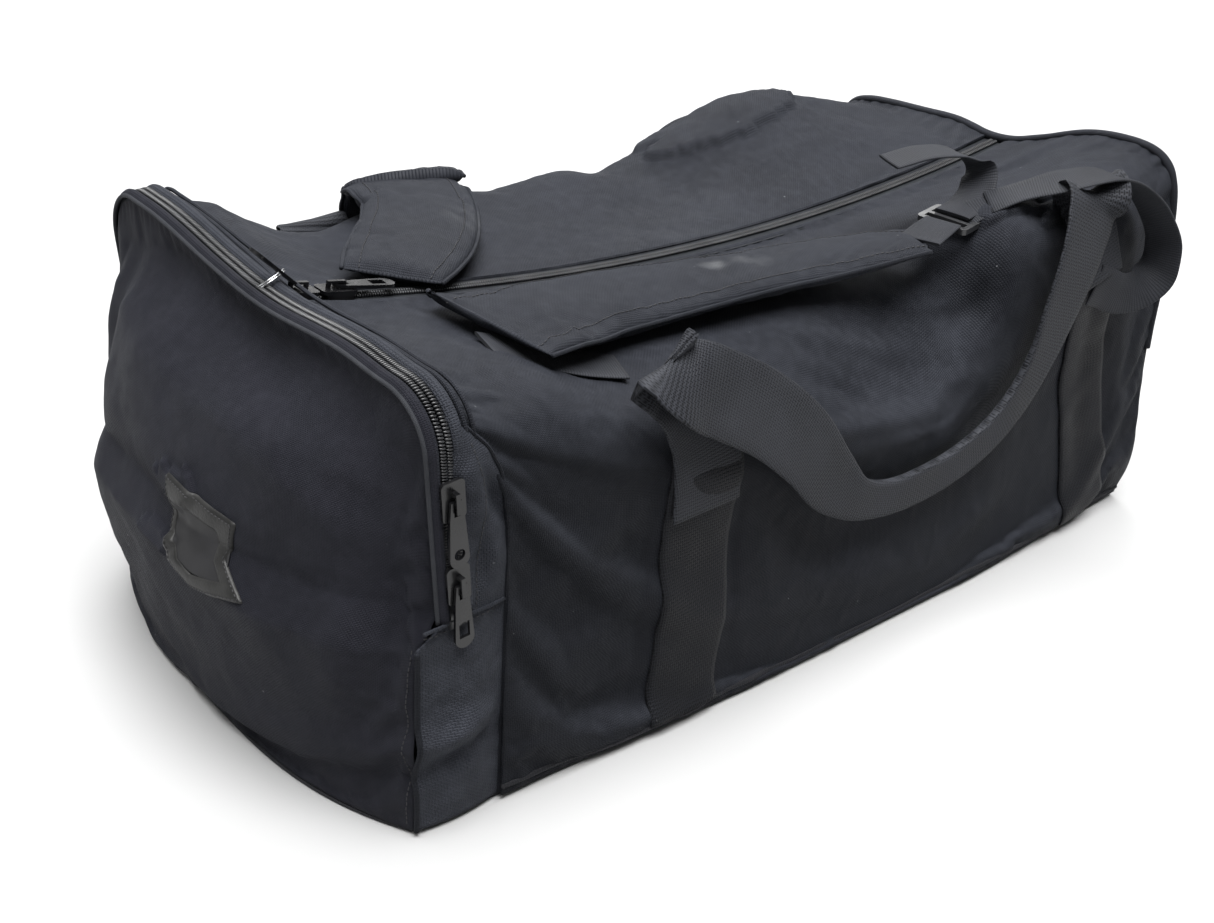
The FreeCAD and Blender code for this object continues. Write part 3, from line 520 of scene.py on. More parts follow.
def capsules(name, items, material, sides=6):
    """Many small rounded bars in one mesh: (centre, half length vector, radius vector a, radius vector b)."""
    ang = np.linspace(0, 2 * math.pi, sides, endpoint=False)
    verts, faces = [], []
    per = len(CAPSULE_RINGS) * sides
    single = quads(len(CAPSULE_RINGS), sides, 0, False, True).tolist()
    single += [list(range(sides))[::-1], [per - sides + j for j in range(sides)]]
    for k, (c, l, a, b) in enumerate(items):
        for pos, fat in CAPSULE_RINGS:
            ring = c + l * pos + (np.outer(np.cos(ang), a) + np.outer(np.sin(ang), b)) * fat
            verts.append(ring)
        faces += [[i + k * per for i in f] for f in single]
    obj = new_mesh(name, np.concatenate(verts), faces, material)
    fix_normals(obj)
    return obj


def coords(obj):
    co = np.zeros(len(obj.data.vertices) * 3)
    obj.data.vertices.foreach_get("co", co)
    return co.reshape(-1, 3)


def bend(obj, a, b, weight):
    """obj rides body a if weight(points in metres) is 0 everywhere, body b if 1 everywhere; otherwise its
    transform is baked in and it rides neither, so it does not bend.
    """
    w = weight(coords(obj))
    if w.max() < 1e-4:
        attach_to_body(obj, a)
    elif w.min() > 1 - 1e-4:
        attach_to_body(obj, b)
    else:
        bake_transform(obj)
    return obj


def flap_weight(side):
    """Share of the top flap's turn: 0 on the walls and at the two ends of the zip, 1 along its middle."""
    def weight(p):
        d = ((side * -p[:, 1] + 0.158) * 0.053 + (p[:, 2] - 0.19) * 0.045) / 0.004834
        ends = smooth((p[:, 0] + 0.250) / 0.055) * (1 - smooth((p[:, 0] - 0.205) / 0.1))
        return smooth(d) * ends
    return weight


def end_weight(p):
    return smooth((p[:, 2] - 0.146) / 0.03)


def front(obj):
    return bend(obj, "bag", "top_front_flap", flap_weight(-1))


def rear(obj):
    return bend(obj, "bag", "top_rear_flap", flap_weight(1))


# ------------------------------------------------------------------ end zip arch

ARCH_FOOT_X, ARCH_FOOT_Z, ARCH_TILT = -293.0, 128.0, math.radians(4.8)
ARCH_HALF, ARCH_TOP, ARCH_R = 158.4, 248.0, 28.0


def arch_sag(y):
    """The arch sags between its corners, and its rear corner stands a little higher."""
    middle = -8.0 * np.exp(-((y + 12) / 62.0) ** 2)
    return middle + 4.0 * smooth((y - 40) / 70.0) * (1 - smooth((y - 128) / 34.0)) \
        - 3.0 * np.exp(-((y + 128) / 26.0) ** 2)


def arch_world(x, y, z):
    dz = z - ARCH_FOOT_Z
    c, s = math.cos(ARCH_TILT), math.sin(ARCH_TILT)
    return np.stack([ARCH_FOOT_X + x * c - dz * s, y, ARCH_FOOT_Z + x * s + dz * c], -1)


def arch_line(rise, x, z_foot=128.0, z_end=None, step=1.0):
    """Points round the arch from the front foot to the rear foot, with in-plane outward directions."""
    z_end = z_foot if z_end is None else z_end
    half, top, r = ARCH_HALF + rise, ARCH_TOP + rise, ARCH_R + rise
    pts = [(-half, z) for z in np.arange(z_foot, top - r, step)]
    pts += [(-half + r - r * math.cos(a), top - r + r * math.sin(a)) for a in np.linspace(0, math.pi / 2,
        34)]
    pts += [(y, top) for y in np.arange(-half + r + step, half - r, step)]
    pts += [(half - r + r * math.sin(a), top - r + r * math.cos(a)) for a in np.linspace(0, math.pi / 2,
        34)]
    pts += [(half, z) for z in np.arange(top - r - step, z_end, -step)]
    pts = np.array(pts)
    y, z = pts[:, 0], pts[:, 1] + arch_sag(pts[:, 0]) * smooth((pts[:, 1] - 215) / 30.0)
    world_points = arch_world(x, y, z)
    flat = np.gradient(np.stack([y, z], 1), axis=0)
    out = unit(np.stack([-flat[:, 1], flat[:, 0]], 1))
    c, s = math.cos(ARCH_TILT), math.sin(ARCH_TILT)
    outward = np.stack([-out[:, 1] * s, out[:, 0], out[:, 1] * c], -1)
    return world_points, unit(outward)


# ------------------------------------------------------------------ wall and top skins

SAG_X, SAG_Z, SAG_R = 20.0, 203.0, 1650.0    # lowest point of the sagging zip line, and its radius


def centre_z(x):
    return SAG_Z + SAG_R - np.sqrt(SAG_R**2 - (np.asarray(x, float) - SAG_X) ** 2)


# Profiles from the zip over the shoulder and down the wall to the base, (|y|, z) at each x
FRONT = {
    -296: [(9, 236), (40, 237), (75, 240), (108, 243), (132, 243), (147, 237), (156, 226), (160, 205),
        (161, 140), (161, 60), (162, 3)],
    -264: [(9, 228.6), (40, 230), (75, 232), (108, 232), (134, 230), (150, 224), (158, 210), (161, 185),
        (160, 125), (162, 55), (163, 3)],
    -225: [(9, 222), (40, 222), (75, 224), (108, 226), (134, 225), (151, 216), (160, 201), (163, 176),
        (161, 120), (164, 50), (164, 3)],
    -185: [(9, 216.5), (40, 214), (75, 213), (108, 212), (135, 208), (153, 200), (163, 186), (166, 164),
        (163, 115), (166, 48), (167, 3)],
    -140: [(9, 212), (40, 209), (75, 207), (108, 205), (134, 198), (152, 188), (163, 176), (168, 156),
        (164, 110), (168, 46), (170, 3)],
    -96: [(9, 208.3), (40, 206), (75, 205), (108, 200), (134, 188), (153, 178), (164, 169), (168, 150),
        (165, 106), (170, 44), (172, 3)],
    -50: [(9, 205.6), (40, 205), (75, 204), (106, 199), (130, 187), (152, 170), (165, 158), (169, 141),
        (166, 100), (171, 44), (174, 3)],
    0: [(9, 204.3), (40, 205), (74, 206), (102, 201), (126, 184), (150, 161), (165, 147), (170, 132),
        (167, 96), (172, 42), (174, 3)],
    45: [(9, 204.3), (40, 205), (72, 208), (98, 203), (120, 186), (146, 158), (165, 140), (170, 127),
        (168, 92), (172, 42), (174, 3)],
    80: [(9, 205.2), (40, 207), (72, 210), (98, 206), (120, 190), (144, 164), (163, 144), (170, 130),
        (167, 94), (172, 42), (174, 3)],
    105: [(9, 206.5), (40, 208), (72, 211), (100, 211), (124, 203), (144, 192), (158, 177), (166, 153),
        (166, 100), (171, 44), (174, 3)],
    128: [(9, 207.8), (40, 213), (75, 224), (106, 236), (132, 241), (150, 233), (161, 214), (165, 180),
        (164, 112), (170, 46), (173, 3)],
    165: [(9, 211), (40, 216), (75, 229), (108, 242), (134, 248), (152, 240), (162, 216), (165, 180),
        (163, 115), (169, 48), (171, 3)],
    210: [(9, 215.2), (40, 220), (75, 233), (108, 246), (134, 250), (152, 240), (161, 216), (163, 182),
        (162, 118), (168, 50), (168, 3)],
    260: [(9, 221.9), (40, 227), (75, 241), (108, 252), (133, 254), (149, 244), (157, 220), (160, 180),
        (160, 120), (167, 48), (164, 3)],
    310: [(9, 230.5), (40, 241), (75, 254), (105, 258), (128, 256), (142, 246), (150, 222), (154, 180),
        (157, 120), (167, 42), (161, 3)],
}
REAR = {
    -296: [(9, 236), (40, 239), (75, 244), (108, 248), (132, 248), (147, 244), (156, 231), (160, 205),
        (161, 140), (161, 60), (162, 3)],
    -264: [(9, 228.6), (40, 230), (75, 234), (108, 239), (132, 241), (149, 234), (158, 218), (161, 190),
        (161, 125), (162, 55), (163, 3)],
    -225: [(9, 222), (40, 219), (75, 217), (108, 218), (132, 218), (150, 211), (160, 198), (163, 172),
        (162, 118), (163, 52), (164, 3)],
    -195: [(9, 217.6), (40, 212), (75, 209), (108, 209), (132, 209), (151, 203), (161, 190), (164, 166),
        (163, 114), (164, 50), (165, 3)],
    -150: [(9, 212.5), (40, 211), (75, 212), (108, 215), (132, 216), (151, 209), (161, 193), (164, 166),
        (163, 112), (165, 50), (166, 3)],
    -108: [(9, 208.5), (40, 210), (75, 215), (108, 220), (132, 221), (151, 214), (161, 196), (164, 168),
        (163, 112), (165, 50), (167, 3)],
    -52: [(9, 205.6), (40, 206), (75, 209), (108, 212), (132, 213), (151, 206), (161, 190), (164, 164),
        (163, 112), (166, 50), (168, 3)],
    0: [(9, 204.3), (40, 206), (75, 211), (108, 217), (132, 218), (151, 211), (161, 194), (164, 167),
        (163, 112), (166, 50), (168, 3)],
    55: [(9, 204.4), (40, 205), (75, 208), (108, 213), (132, 215), (151, 208), (161, 192), (164, 166),
        (163, 112), (166, 50), (168, 3)],
    106: [(9, 206.5), (40, 211), (75, 219), (108, 227), (132, 230), (151, 222), (161, 203), (164, 172),
        (163, 114), (166, 50), (168, 3)],
    165: [(9, 211), (40, 218), (75, 230), (108, 241), (132, 246), (151, 238), (161, 216), (164, 178),
        (163, 116), (166, 50), (167, 3)],
    205: [(9, 214.8), (40, 221), (75, 232), (108, 242), (132, 246), (151, 238), (161, 216), (164, 178),
        (163, 116), (166, 50), (166, 3)],
    260: [(9, 221.9), (40, 226), (75, 231), (108, 235), (132, 236), (150, 228), (159, 208), (162, 174),
        (161, 116), (165, 50), (164, 3)],
    310: [(9, 230.5), (40, 234), (75, 232), (105, 230), (128, 227), (143, 220), (152, 202), (156, 168),
        (158, 116), (163, 50), (161, 3)],
}
LEFT_EDGE = [(0, -298.5), (3, -298.5), (4.3, -296.5), (5, -294), (5.6, -288.5), (6.3, -280), (7, -268),
    (7.6, -264), (10, -264)]
ROWS_PER_KNOT = [7, 8, 8, 7, 6, 5, 6, 12, 13, 10]


def profile(table, xs):
    keys = sorted(table)
    values = np.array([table[k] for k in keys], float)
    return spline(keys, values, xs)


def raw_skin(table, side):
    """Grid of a side's wall and top, [along x, from zip to base]."""
    knots = np.concatenate([i + np.arange(n) / n for i, n in enumerate(ROWS_PER_KNOT)] + [[10.0]])
    u = np.linspace(0, 1, 145)
    left = np.interp(knots, *zip(*LEFT_EDGE))
    x = left[None, :] + (309.5 - left)[None, :] * u[:, None]
    out = np.empty(x.shape + (3,))
    for j, k in enumerate(knots):
        rows = profile(table, x[:, j])
        at = spline(np.arange(11), np.swapaxes(rows, 0, 1), np.full(1, k))[0]
        out[:, j, 0] = x[:, j]
        out[:, j, 1] = side * at[:, 0]
        out[:, j, 2] = at[:, 1]
    return out, knots


def creases(p, n, table):
    """Pushes a surface along its normals round listed folds: (a, b, width, height)."""
    flat = p.reshape(-1, 3)
    total = np.zeros(len(flat))
    for a, b, width, height in table:
        a, b = np.array(a, float), np.array(b, float)
        ab = b - a
        t = np.clip((flat - a) @ ab / (ab @ ab), 0, 1)
        gap = np.linalg.norm(flat - a - t[:, None] * ab, axis=1)
        total += height * np.exp(-((gap / width) ** 2)) * np.sin(math.pi * (0.12 + 0.76 * t))
    return p + n * total.reshape(p.shape[:2])[..., None]


FRONT_FOLDS = [
    # sharp fold where the full right end meets the sunken middle
    ((112, -150, 228), (60, -163, 146), 9, 6),
    ((60, -163, 146), (-60, -166, 160), 8, 4.5),
    ((-60, -166, 160), (-118, -165, 172), 7, 3),
    ((92, -134, 172), (128, -150, 210), 14, -6),
    ((62, -154, 150), (96, -160, 160), 5, 3.0),
    ((-30, -112, 196), (60, -134, 172), 7, 2.0),
    ((-70, -120, 192), (10, -150, 160), 6, -2.0),
    ((104, -166, 140), (150, -165, 190), 16, 3),
    ((150, -166, 120), (118, -168, 60), 22, 3.5),
    ((30, -170, 90), (-60, -168, 70), 20, -3),
    ((-60, -170, 60), (60, -172, 34), 12, 3),
    ((60, -172, 34), (170, -170, 66), 14, 3),
    ((-258, -162, 118), (-190, -166, 150), 14, 5),
    ((-190, -166, 150), (-176, -165, 110), 12, -4),
    ((-250, -164, 60), (-190, -166, 84), 14, 3.5),
    ((-240, -163, 40), (-160, -170, 34), 9, -3.5),
    ((-92, -168, 120), (-70, -170, 60), 13, 3),
    ((-172, -164, 170), (-176, -164, 40), 5, -2.0),
    ((-106, -166, 160), (-106, -170, 40), 5, -2.0),
    ((215, -160, 190), (240, -164, 40), 8, -3),
    ((262, -160, 180), (286, -164, 40), 14, 4),
    ((232, -120, 246), (296, -60, 240), 12, 3),
    ((180, -60, 224), (230, -100, 244), 15, -3),
    ((-256, -100, 231), (-222, -140, 222), 12, 2.5),
    ((-262, -152, 190), (-246, -158, 140), 8, 3),
]
REAR_FOLDS = [
    ((-40, 60, 210), (120, 96, 226), 26, -3),
    ((-90, 30, 208), (150, 44, 218), 20, 1.5),
    ((-288, 60, 243), (-262, 130, 243), 5, 2.4),
    ((-280, 40, 236), (-250, 110, 238), 5, 2.0),
    ((-240, 40, 221), (-206, 100, 212), 16, -4),
    ((20, 132, 222), (60, 158, 190), 12, -4),
    ((100, 150, 214), (160, 163, 150), 18, 4),
    ((-60, 163, 150), (60, 164, 70), 22, 4),
    ((-230, 163, 150), (-150, 164, 60), 20, 4),
    ((200, 163, 160), (270, 162, 60), 20, -4),
    ((220, 120, 240), (290, 60, 238), 14, -3),
    ((-20, 164, 60), (180, 166, 40), 14, 3),
]


def skin(table, side, folds, seed):
    p, knots = raw_skin(table, side)
    n = grid_normals(p) * side
    if n[70, 60] @ np.array((0, side, 0.2)) < 0:
        n = -n
    p = creases(p, n, folds)
    flat = p.reshape(-1, 3)
    hold = np.ones(p.shape[:2])
    hold *= smooth(np.arange(p.shape[0]) / 4.0)[:,
        None] * smooth((p.shape[0] - 1 - np.arange(p.shape[0])) / 4.0)[:, None]
    hold *= smooth(knots / 0.8)[None, :] * smooth((10 - knots) / 0.5)[None, :]
    stretch = flat * np.array((1.0, 1.5, 1.3))
    rough = fractal(stretch, 60, seed) * 1.6 + fractal(stretch, 22, seed + 3, 2) * 0.3
    ridges = 1 - np.abs(fractal(flat * np.array((1.5, 0.9, 0.7)), 40, seed + 5, 2)) * 3.2
    rough += np.clip(ridges, 0, 1) ** 2 * 0.5
    return p + n * (rough.reshape(p.shape[:2]) * hold)[..., None], knots


def refine(p):
    """Twice as fine a grid, smoothly."""
    nu, nv = p.shape[:2]
    p = spline(np.arange(nu), p, np.arange(2 * nu - 1) / 2)
    p = np.swapaxes(spline(np.arange(nv), np.swapaxes(p, 0, 1), np.arange(2 * nv - 1) / 2), 0, 1)
    return p


def settle(p, cap, pressure, slack, frames_to_run=16, stiff=6.0, gravity=0.25):
    """Lets a grid of cloth, held along its edges, wrinkle on its own; no point moves further than cap."""
    nu, nv = p.shape[:2]
    mesh = bpy.data.meshes.new("settling")
    mesh.from_pydata((p.reshape(-1, 3) * MM).tolist(), [], quads(nu, nv).tolist())
    obj = bpy.data.objects.new("settling", mesh)
    bpy.context.scene.collection.objects.link(obj)
    group = obj.vertex_groups.new(name="held")
    edge = np.zeros((nu, nv), bool)
    edge[:1], edge[-1:], edge[:, :1], edge[:, -1:] = True, True, True, True
    group.add(np.flatnonzero(edge).tolist(), 1.0, "REPLACE")
    cloth = obj.modifiers.new("cloth", "CLOTH")
    s = cloth.settings
    s.quality = 6
    s.mass = 0.25
    s.tension_stiffness = s.compression_stiffness = 18
    s.shear_stiffness = 8
    s.bending_stiffness = stiff
    s.shrink_min = -slack
    s.shrink_max = -slack
    s.use_pressure = pressure != 0
    s.uniform_pressure_force = pressure
    s.vertex_group_mass = "held"
    s.effector_weights.gravity = gravity
    cloth.collision_settings.use_collision = False
    scene = bpy.context.scene
    cloth.point_cache.frame_start, cloth.point_cache.frame_end = 1, frames_to_run
    for f in range(1, frames_to_run + 1):
        scene.frame_set(f)
    done = obj.evaluated_get(bpy.context.evaluated_depsgraph_get())
    co = np.zeros(len(mesh.vertices) * 3)
    done.data.vertices.foreach_get("co", co)
    q = co.reshape(nu, nv, 3) / MM
    scene.frame_set(1)
    bpy.data.objects.remove(obj)
    move = q - p
    far = np.linalg.norm(move, axis=2, keepdims=True)
    return p + move * np.minimum(1.0, cap / np.maximum(far, 1e-6)) * (far < 60)


front_skin, knots = skin(FRONT, -1, FRONT_FOLDS, 3)
rear_skin, _ = skin(REAR, 1, REAR_FOLDS, 11)
front_skin = settle(front_skin, 4.0, 0.0, 0.012)
rear_skin = settle(rear_skin, 4.0, 0.0, 0.012)
front_skin, rear_skin = refine(front_skin), refine(rear_skin)

front_cloth = sheet_mesh("front_cloth", front_skin, "oxford_cloth", 1.4, 1)
rear_cloth = sheet_mesh("rear_cloth", rear_skin, "oxford_cloth", 1.4, -1)
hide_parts("front_wall", "top_front_panel", "top_left_bridge", "top_right_bridge")
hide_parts("rear_wall", "top_rear_panel")


def tree_of(*grids):
    verts, faces, base = [], [], 0
    for g in grids:
        verts.append(g.reshape(-1, 3))
        faces.append(quads(g.shape[0], g.shape[1], base))
        base += g.shape[0] * g.shape[1]
    return BVHTree.FromPolygons(np.concatenate(verts).tolist(), np.concatenate(faces).tolist())


body_tree = tree_of(front_skin, rear_skin)


def on_wall(x, z, side):
    """Point and outward normal of the wall skin at x, z."""
    hit, n, _, _ = body_tree.ray_cast(Vector((x, side * 400, z)), Vector((0, -side, 0)))
    if hit is None:
        return np.array((x, side * 162.0, z)), np.array((0.0, side, 0.0))
    n = np.array(n)
    return np.array(hit), n if n[1] * side > 0 else -n


def on_roof(x, y):
    """Point and upward normal of the top skin at x, y."""
    hit, n, _, _ = body_tree.ray_cast(Vector((x, y, 600)), Vector((0, 0, -1)))
    if hit is None:
        return np.array((x, y, float(centre_z(x)))), np.array((0.0, 0.0, 1.0))
    n = np.array(n)
    return np.array(hit), n if n[2] > 0 else -n


front(front_cloth)
rear(rear_cloth)


# ------------------------------------------------------------------ end panel and gussets

def end_panel_grid():
    t = np.linspace(-1, 1, 121)
    q = np.linspace(0, 1, 81)
    ty, qq = np.meshgrid(t, q, indexing="ij")
    y_side = 159.6
    ytop = ty * y_side
    over = np.clip(np.abs(ytop) - (ARCH_HALF - ARCH_R), 0, ARCH_R)
    rim = ARCH_TOP - ARCH_R + np.sqrt(np.maximum(ARCH_R**2 - over**2,
        0)) + arch_sag(ytop) * (1 - (over / ARCH_R) ** 2)
    z = 3.0 + qq * (rim - 1.6 - 3.0)
    edge = np.interp(z, [0, 112, 134, 250], [-316, -316, -302.5, -312.5])
    depth = spline([0, 40, 80, 120, 150, 180, 205, 228, 250], [33, 44, 52, 57, 58, 49, 37, 20, 3],
        z.ravel()).reshape(z.shape)
    depth = depth * (1 - smooth((qq - 0.80) / 0.2) * 0.97)
    x = edge - depth * (1 - np.abs(ty) ** np.where(ty > 0, 3.8, 2.7))
    y = ty * y_side
    return np.stack([x, y, z], -1), ty, qq


END_FOLDS = [
    # the cloth hangs over the foot of the panel towards the front corner
    ((-352, -20, 22), (-318, -160, 56), 9, 7),
    ((-345, -50, 8), (-320, -160, 36), 8, -7),
    ((-352, -30, 34), (-350, 20, 26), 12, 2),
    # bulge and pucker below the zip's front foot
    ((-330, -128, 140), (-336, -122, 78), 13, 7),
    ((-322, -146, 150), (-320, -150, 96), 6, -5),
    ((-322, -146, 96), (-330, -128, 70), 5, 3),
    ((-326, -140, 84), (-320, -154, 74), 4, 3),
    # soft ridges fanning down from the zip
    ((-318, 40, 226), (-362, 70, 150), 20, 3),
    ((-322, 120, 226), (-352, 118, 150), 13, -5),
    ((-330, 134, 214), (-330, 140, 120), 9, 5),
    ((-350, 96, 168), (-352, 84, 60), 16, 4),
    ((-316, -20, 222), (-330, -110, 190), 12, -4),
    ((-345, -40, 196), (-325, -134, 166), 14, 4),
    ((-366, 20, 150), (-356, -70, 110), 22, 3),
    ((-362, 40, 100), (-350, 90, 30), 18, -4),
    ((-345, 30, 12), (-330, 120, 14), 8, 3),
]
end_p, end_t, end_q = end_panel_grid()
end_n = grid_normals(end_p)
if end_n[60, 40, 0] > 0:
    end_n = -end_n
end_p = creases(end_p, end_n, END_FOLDS)
hold = smooth((1 - np.abs(end_t)) / 0.05) * smooth(end_q / 0.05) * smooth((1 - end_q) / 0.06)
soft = (fractal(end_p.reshape(-1, 3), 60, 21) * 1.8 + fractal(end_p.reshape(-1, 3), 20,
    23) * 0.5).reshape(end_t.shape)
end_p = end_p + end_n * (soft * hold)[..., None]
end_base_tree = tree_of(end_p)
end_p = settle(end_p, 2.5, 0.0, 0.010)
end_p = refine(end_p)
end_cloth = sheet_mesh("end_cloth", end_p, "end_cloth", 1.4, -1)
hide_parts("end_panel_lower", "end_flap_panel")
end_tree = tree_of(end_p)


def on_end(y, z):
    hit, n, _, _ = end_tree.ray_cast(Vector((-700, y, z)), Vector((1, 0, 0)))
    if hit is None:
        return np.array((-316.0, y, z)), np.array((-1.0, 0, 0))
    n = np.array(end_base_tree.ray_cast(Vector((-700, y, z)), Vector((1, 0, 0)))[1])
    return np.array(hit), n if n[0] < 0 else -n


bend(end_cloth, "bag", "end_flap", end_weight)


def gusset(side):
    """Crescent between the end seam, the foot of the end zip and the curved wall seam."""
    v = np.linspace(0, 1, 71)
    u = np.linspace(0, 1, 19)
    z = 3 + v * 232
    left = np.interp(z, [0, 116, 126, 235], [-315.5, -315.5, -297.8, -301.0])
    seam_z = [0, 150, 180, 200, 216, 227, 236]
    seam_x = [-263.5, -263.5, -265.5, -269, -277, -287, -297]
    right_edge = np.interp(z, seam_z, seam_x)
    x = left[None, :] + (right_edge - left)[None, :] * u[:, None]
    zz = np.repeat(z[None, :], len(u), 0)
    bow = np.sin(math.pi * u)[:, None] * (2.5 + 1.5 * np.sin(z / 30.0))[None, :]
    corner = np.clip((zz - 206) / 30, 0, 1) ** 2 * 9
    y = 160.4 + bow - corner
    p = np.stack([x, side * y, zz], -1)
    n = np.zeros_like(p)
    n[..., 1] = side
    folds = [
        ((-318, side * 161, 56), (-276, side * 163, 66), 8, 6),
        ((-318, side * 161, 36), (-270, side * 163, 48), 7, -6),
        ((-292, side * 160, 216), (-270, side * 160, 150), 6, 4),
        ((-284, side * 160, 210), (-268, side * 160, 176), 3.5, -4),
        ((-276, side * 160, 190), (-282, side * 160, 132), 5, -3),
        ((-296, side * 160, 100), (-280, side * 160, 20), 8, 2.5),
    ]
    p = creases(p, n, folds)
    edge_hold = (smooth(u / 0.12) * smooth((1 - u) / 0.12))[:, None] * smooth(v / 0.05)[None, :]
    wrinkle = fractal(p.reshape(-1, 3), 16, 31 + side).reshape(p.shape[:2]) * 1.8
    p = refine(p + n * (wrinkle * edge_hold)[..., None])
    word = "front" if side < 0 else "rear"
    obj = sheet_mesh("gusset_cloth_" + word, p, "gusset_cloth", 1.4, 1)
    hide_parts("gusset_" + word)
    fix_normals(obj)
    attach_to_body(obj, "bag")
    return p


gusset_p, gusset_q = gusset(-1), gusset(1)
gusset_tree = tree_of(gusset_p, gusset_q)


def on_gusset(x, z, side):
    hit, n, _, _ = gusset_tree.ray_cast(Vector((x, side * 400, z)), Vector((0, -side, 0)))
    if hit is None:
        return on_wall(x, z, side)
    n = np.array(n)
    return np.array(hit), n if n[1] * side > 0 else -n


# right end, full and puffy at the top
def right_end():
    t = np.linspace(-1, 1, 91)
    q = np.linspace(0, 1, 61)
    border_f, border_r = front_skin[-1, :, :], rear_skin[-1, :, :]
    top_y = np.concatenate([border_f[::-1, 1], border_r[:, 1]])
    top_z = np.concatenate([border_f[::-1, 2], border_r[:, 2]])
    near = np.abs(top_y) < 149.5
    order = np.argsort(top_y[near])
    ty, qq = np.meshgrid(t, q, indexing="ij")
    rim = np.interp(ty * 149.0, top_y[near][order], top_z[near][order])
    half = np.interp(3 + qq * 210, [0, 40, 120, 180, 215], [161, 166, 158, 155, 149])
    z = 3 + qq * (rim - 3)
    y = ty * half
    x = 309.8 + (12.0 * (1 - np.abs(ty) ** 4)) * np.clip(np.sin(math.pi * np.clip(qq, 0, 1) ** 1.15), 0,
        1) ** 0.3
    p = np.stack([x, y, z], -1)
    n = np.zeros_like(p)
    n[..., 0] = 1
    folds = [((322, -90, 225), (322, -20, 190), 14, 3), ((322, 40, 200), (322, 110, 90), 20, -4),
             ((322, -110, 120), (322, -40, 40), 16, 3), ((322, -20, 150), (322, 60, 60), 18, 3)]
    p = creases(p, n, folds)
    keep = smooth((1 - np.abs(ty)) / 0.08) * smooth(qq / 0.06) * smooth((1 - qq) / 0.06)
    p = p + n * ((fractal(p.reshape(-1, 3), 45, 41).reshape(ty.shape) * 2.2
                  + fractal(p.reshape(-1, 3), 16, 43).reshape(ty.shape) * 0.6) * keep)[..., None]
    return refine(p)


right_p = right_end()
right_cloth = sheet_mesh("right_end_cloth", right_p, "oxford_cloth", 1.4, 1)
fix_normals(right_cloth)
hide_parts("right_end_panel")
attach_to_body(right_cloth, "bag")

# rolled seam round the top of the right end
rim_front = front_skin[-1, ::-1][np.abs(front_skin[-1, ::-1, 1]) < 158]
rim_rear = rear_skin[-1][np.abs(rear_skin[-1, :, 1]) < 158]
rim_line = np.concatenate([rim_front[rim_front[:, 2] > 120], rim_rear[rim_rear[:, 2] > 120]])[::6]
rim_line = rim_line + np.array((0.6, 0, 0.4))
welt = tube("right_end_welt_cloth", rim_line, 3.6, "oxford_cloth", 12, 2.0)
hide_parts("right_end_welt")
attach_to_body(welt, "bag")

# base and its seams
by = np.linspace(-1, 1, 61)
bx = np.linspace(0, 1, 101)
gx, gy = np.meshgrid(bx, by, indexing="ij")
left_end = -316 - 33 * (1 - np.abs(gy) ** 3)
x_base = left_end + (312 - left_end) * gx
half_base = np.interp(x_base, [-320, -264, -100, 100, 240, 312], [157, 160, 168, 169, 163, 157])
base_wave = 0.5 + 0.4 * np.sin(gx * 21) * np.sin(gy * 9)
base_p = np.stack([x_base, gy * half_base, base_wave], -1)
base = sheet_mesh("base_cloth", base_p, "base_cloth", -1.6, 1)
fix_normals(base)
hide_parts("base_panel")
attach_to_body(base, "bag")
nodes["base_board"].data.materials.clear()
nodes["base_board"].data.materials.append(M["board_plastic"])

for side, word in ((-1, "front"), (1, "rear")):
    edge_line = (front_skin if side < 0 else rear_skin)[::8, -3] + np.array((0, side * 0.8, 0.8))
    piping = tube("base_piping_" + word, edge_line, 1.6, "base_cloth", 8, 3.0)
    if side < 0:
        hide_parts("base_piping")
    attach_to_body(piping, "bag")

# pocket divider, a slack lining sheet
dy, dz = np.meshgrid(np.linspace(-156, 156, 61), np.linspace(6, 204, 41), indexing="ij")
divider_p = np.stack([-265.0 + 1.4 * np.sin(dy / 26) * np.sin(dz / 31), dy,
    dz - 5 * (1 - (dy / 156) ** 2) * (dz / 204)], -1)
divider = sheet_mesh("divider_cloth", divider_p, "lining_cloth", 1.2, 1)
fix_normals(divider)
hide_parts("pocket_divider")
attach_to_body(divider, "bag")


# ------------------------------------------------------------------ zips

PITCH = 1.62


def even(points, extra, pitch):
    s = np.concatenate([[0], np.cumsum(np.linalg.norm(np.diff(points, axis=0), axis=1))])
    t = np.arange(pitch / 2, s[-1], pitch)
    pick = lambda a: np.stack([np.interp(t, s, a[:, k]) for k in range(3)], 1)
    c = pick(points)
    return c, unit(pick(extra)), unit(np.gradient(c, axis=0))


def teeth(name, points, outward, side, gap, pitch=PITCH):
    """One row of a coil: small slanted loops beside the line points, on its side."""
    c, up, along = even(points, outward, pitch)
    across = np.cross(up, along) * side
    items = []
    for k in range(len(c)):
        g = gap(c[k]) if callable(gap) else gap
        centre = c[k] + across[k] * (g + 1.75) + up[k] * 1.55
        slant = unit(across[k] + along[k] * 0.22 * side)
        items.append((centre, slant * 1.72, along[k] * 0.70, up[k] * 1.05))
    return capsules(name, items, "zip_coil")


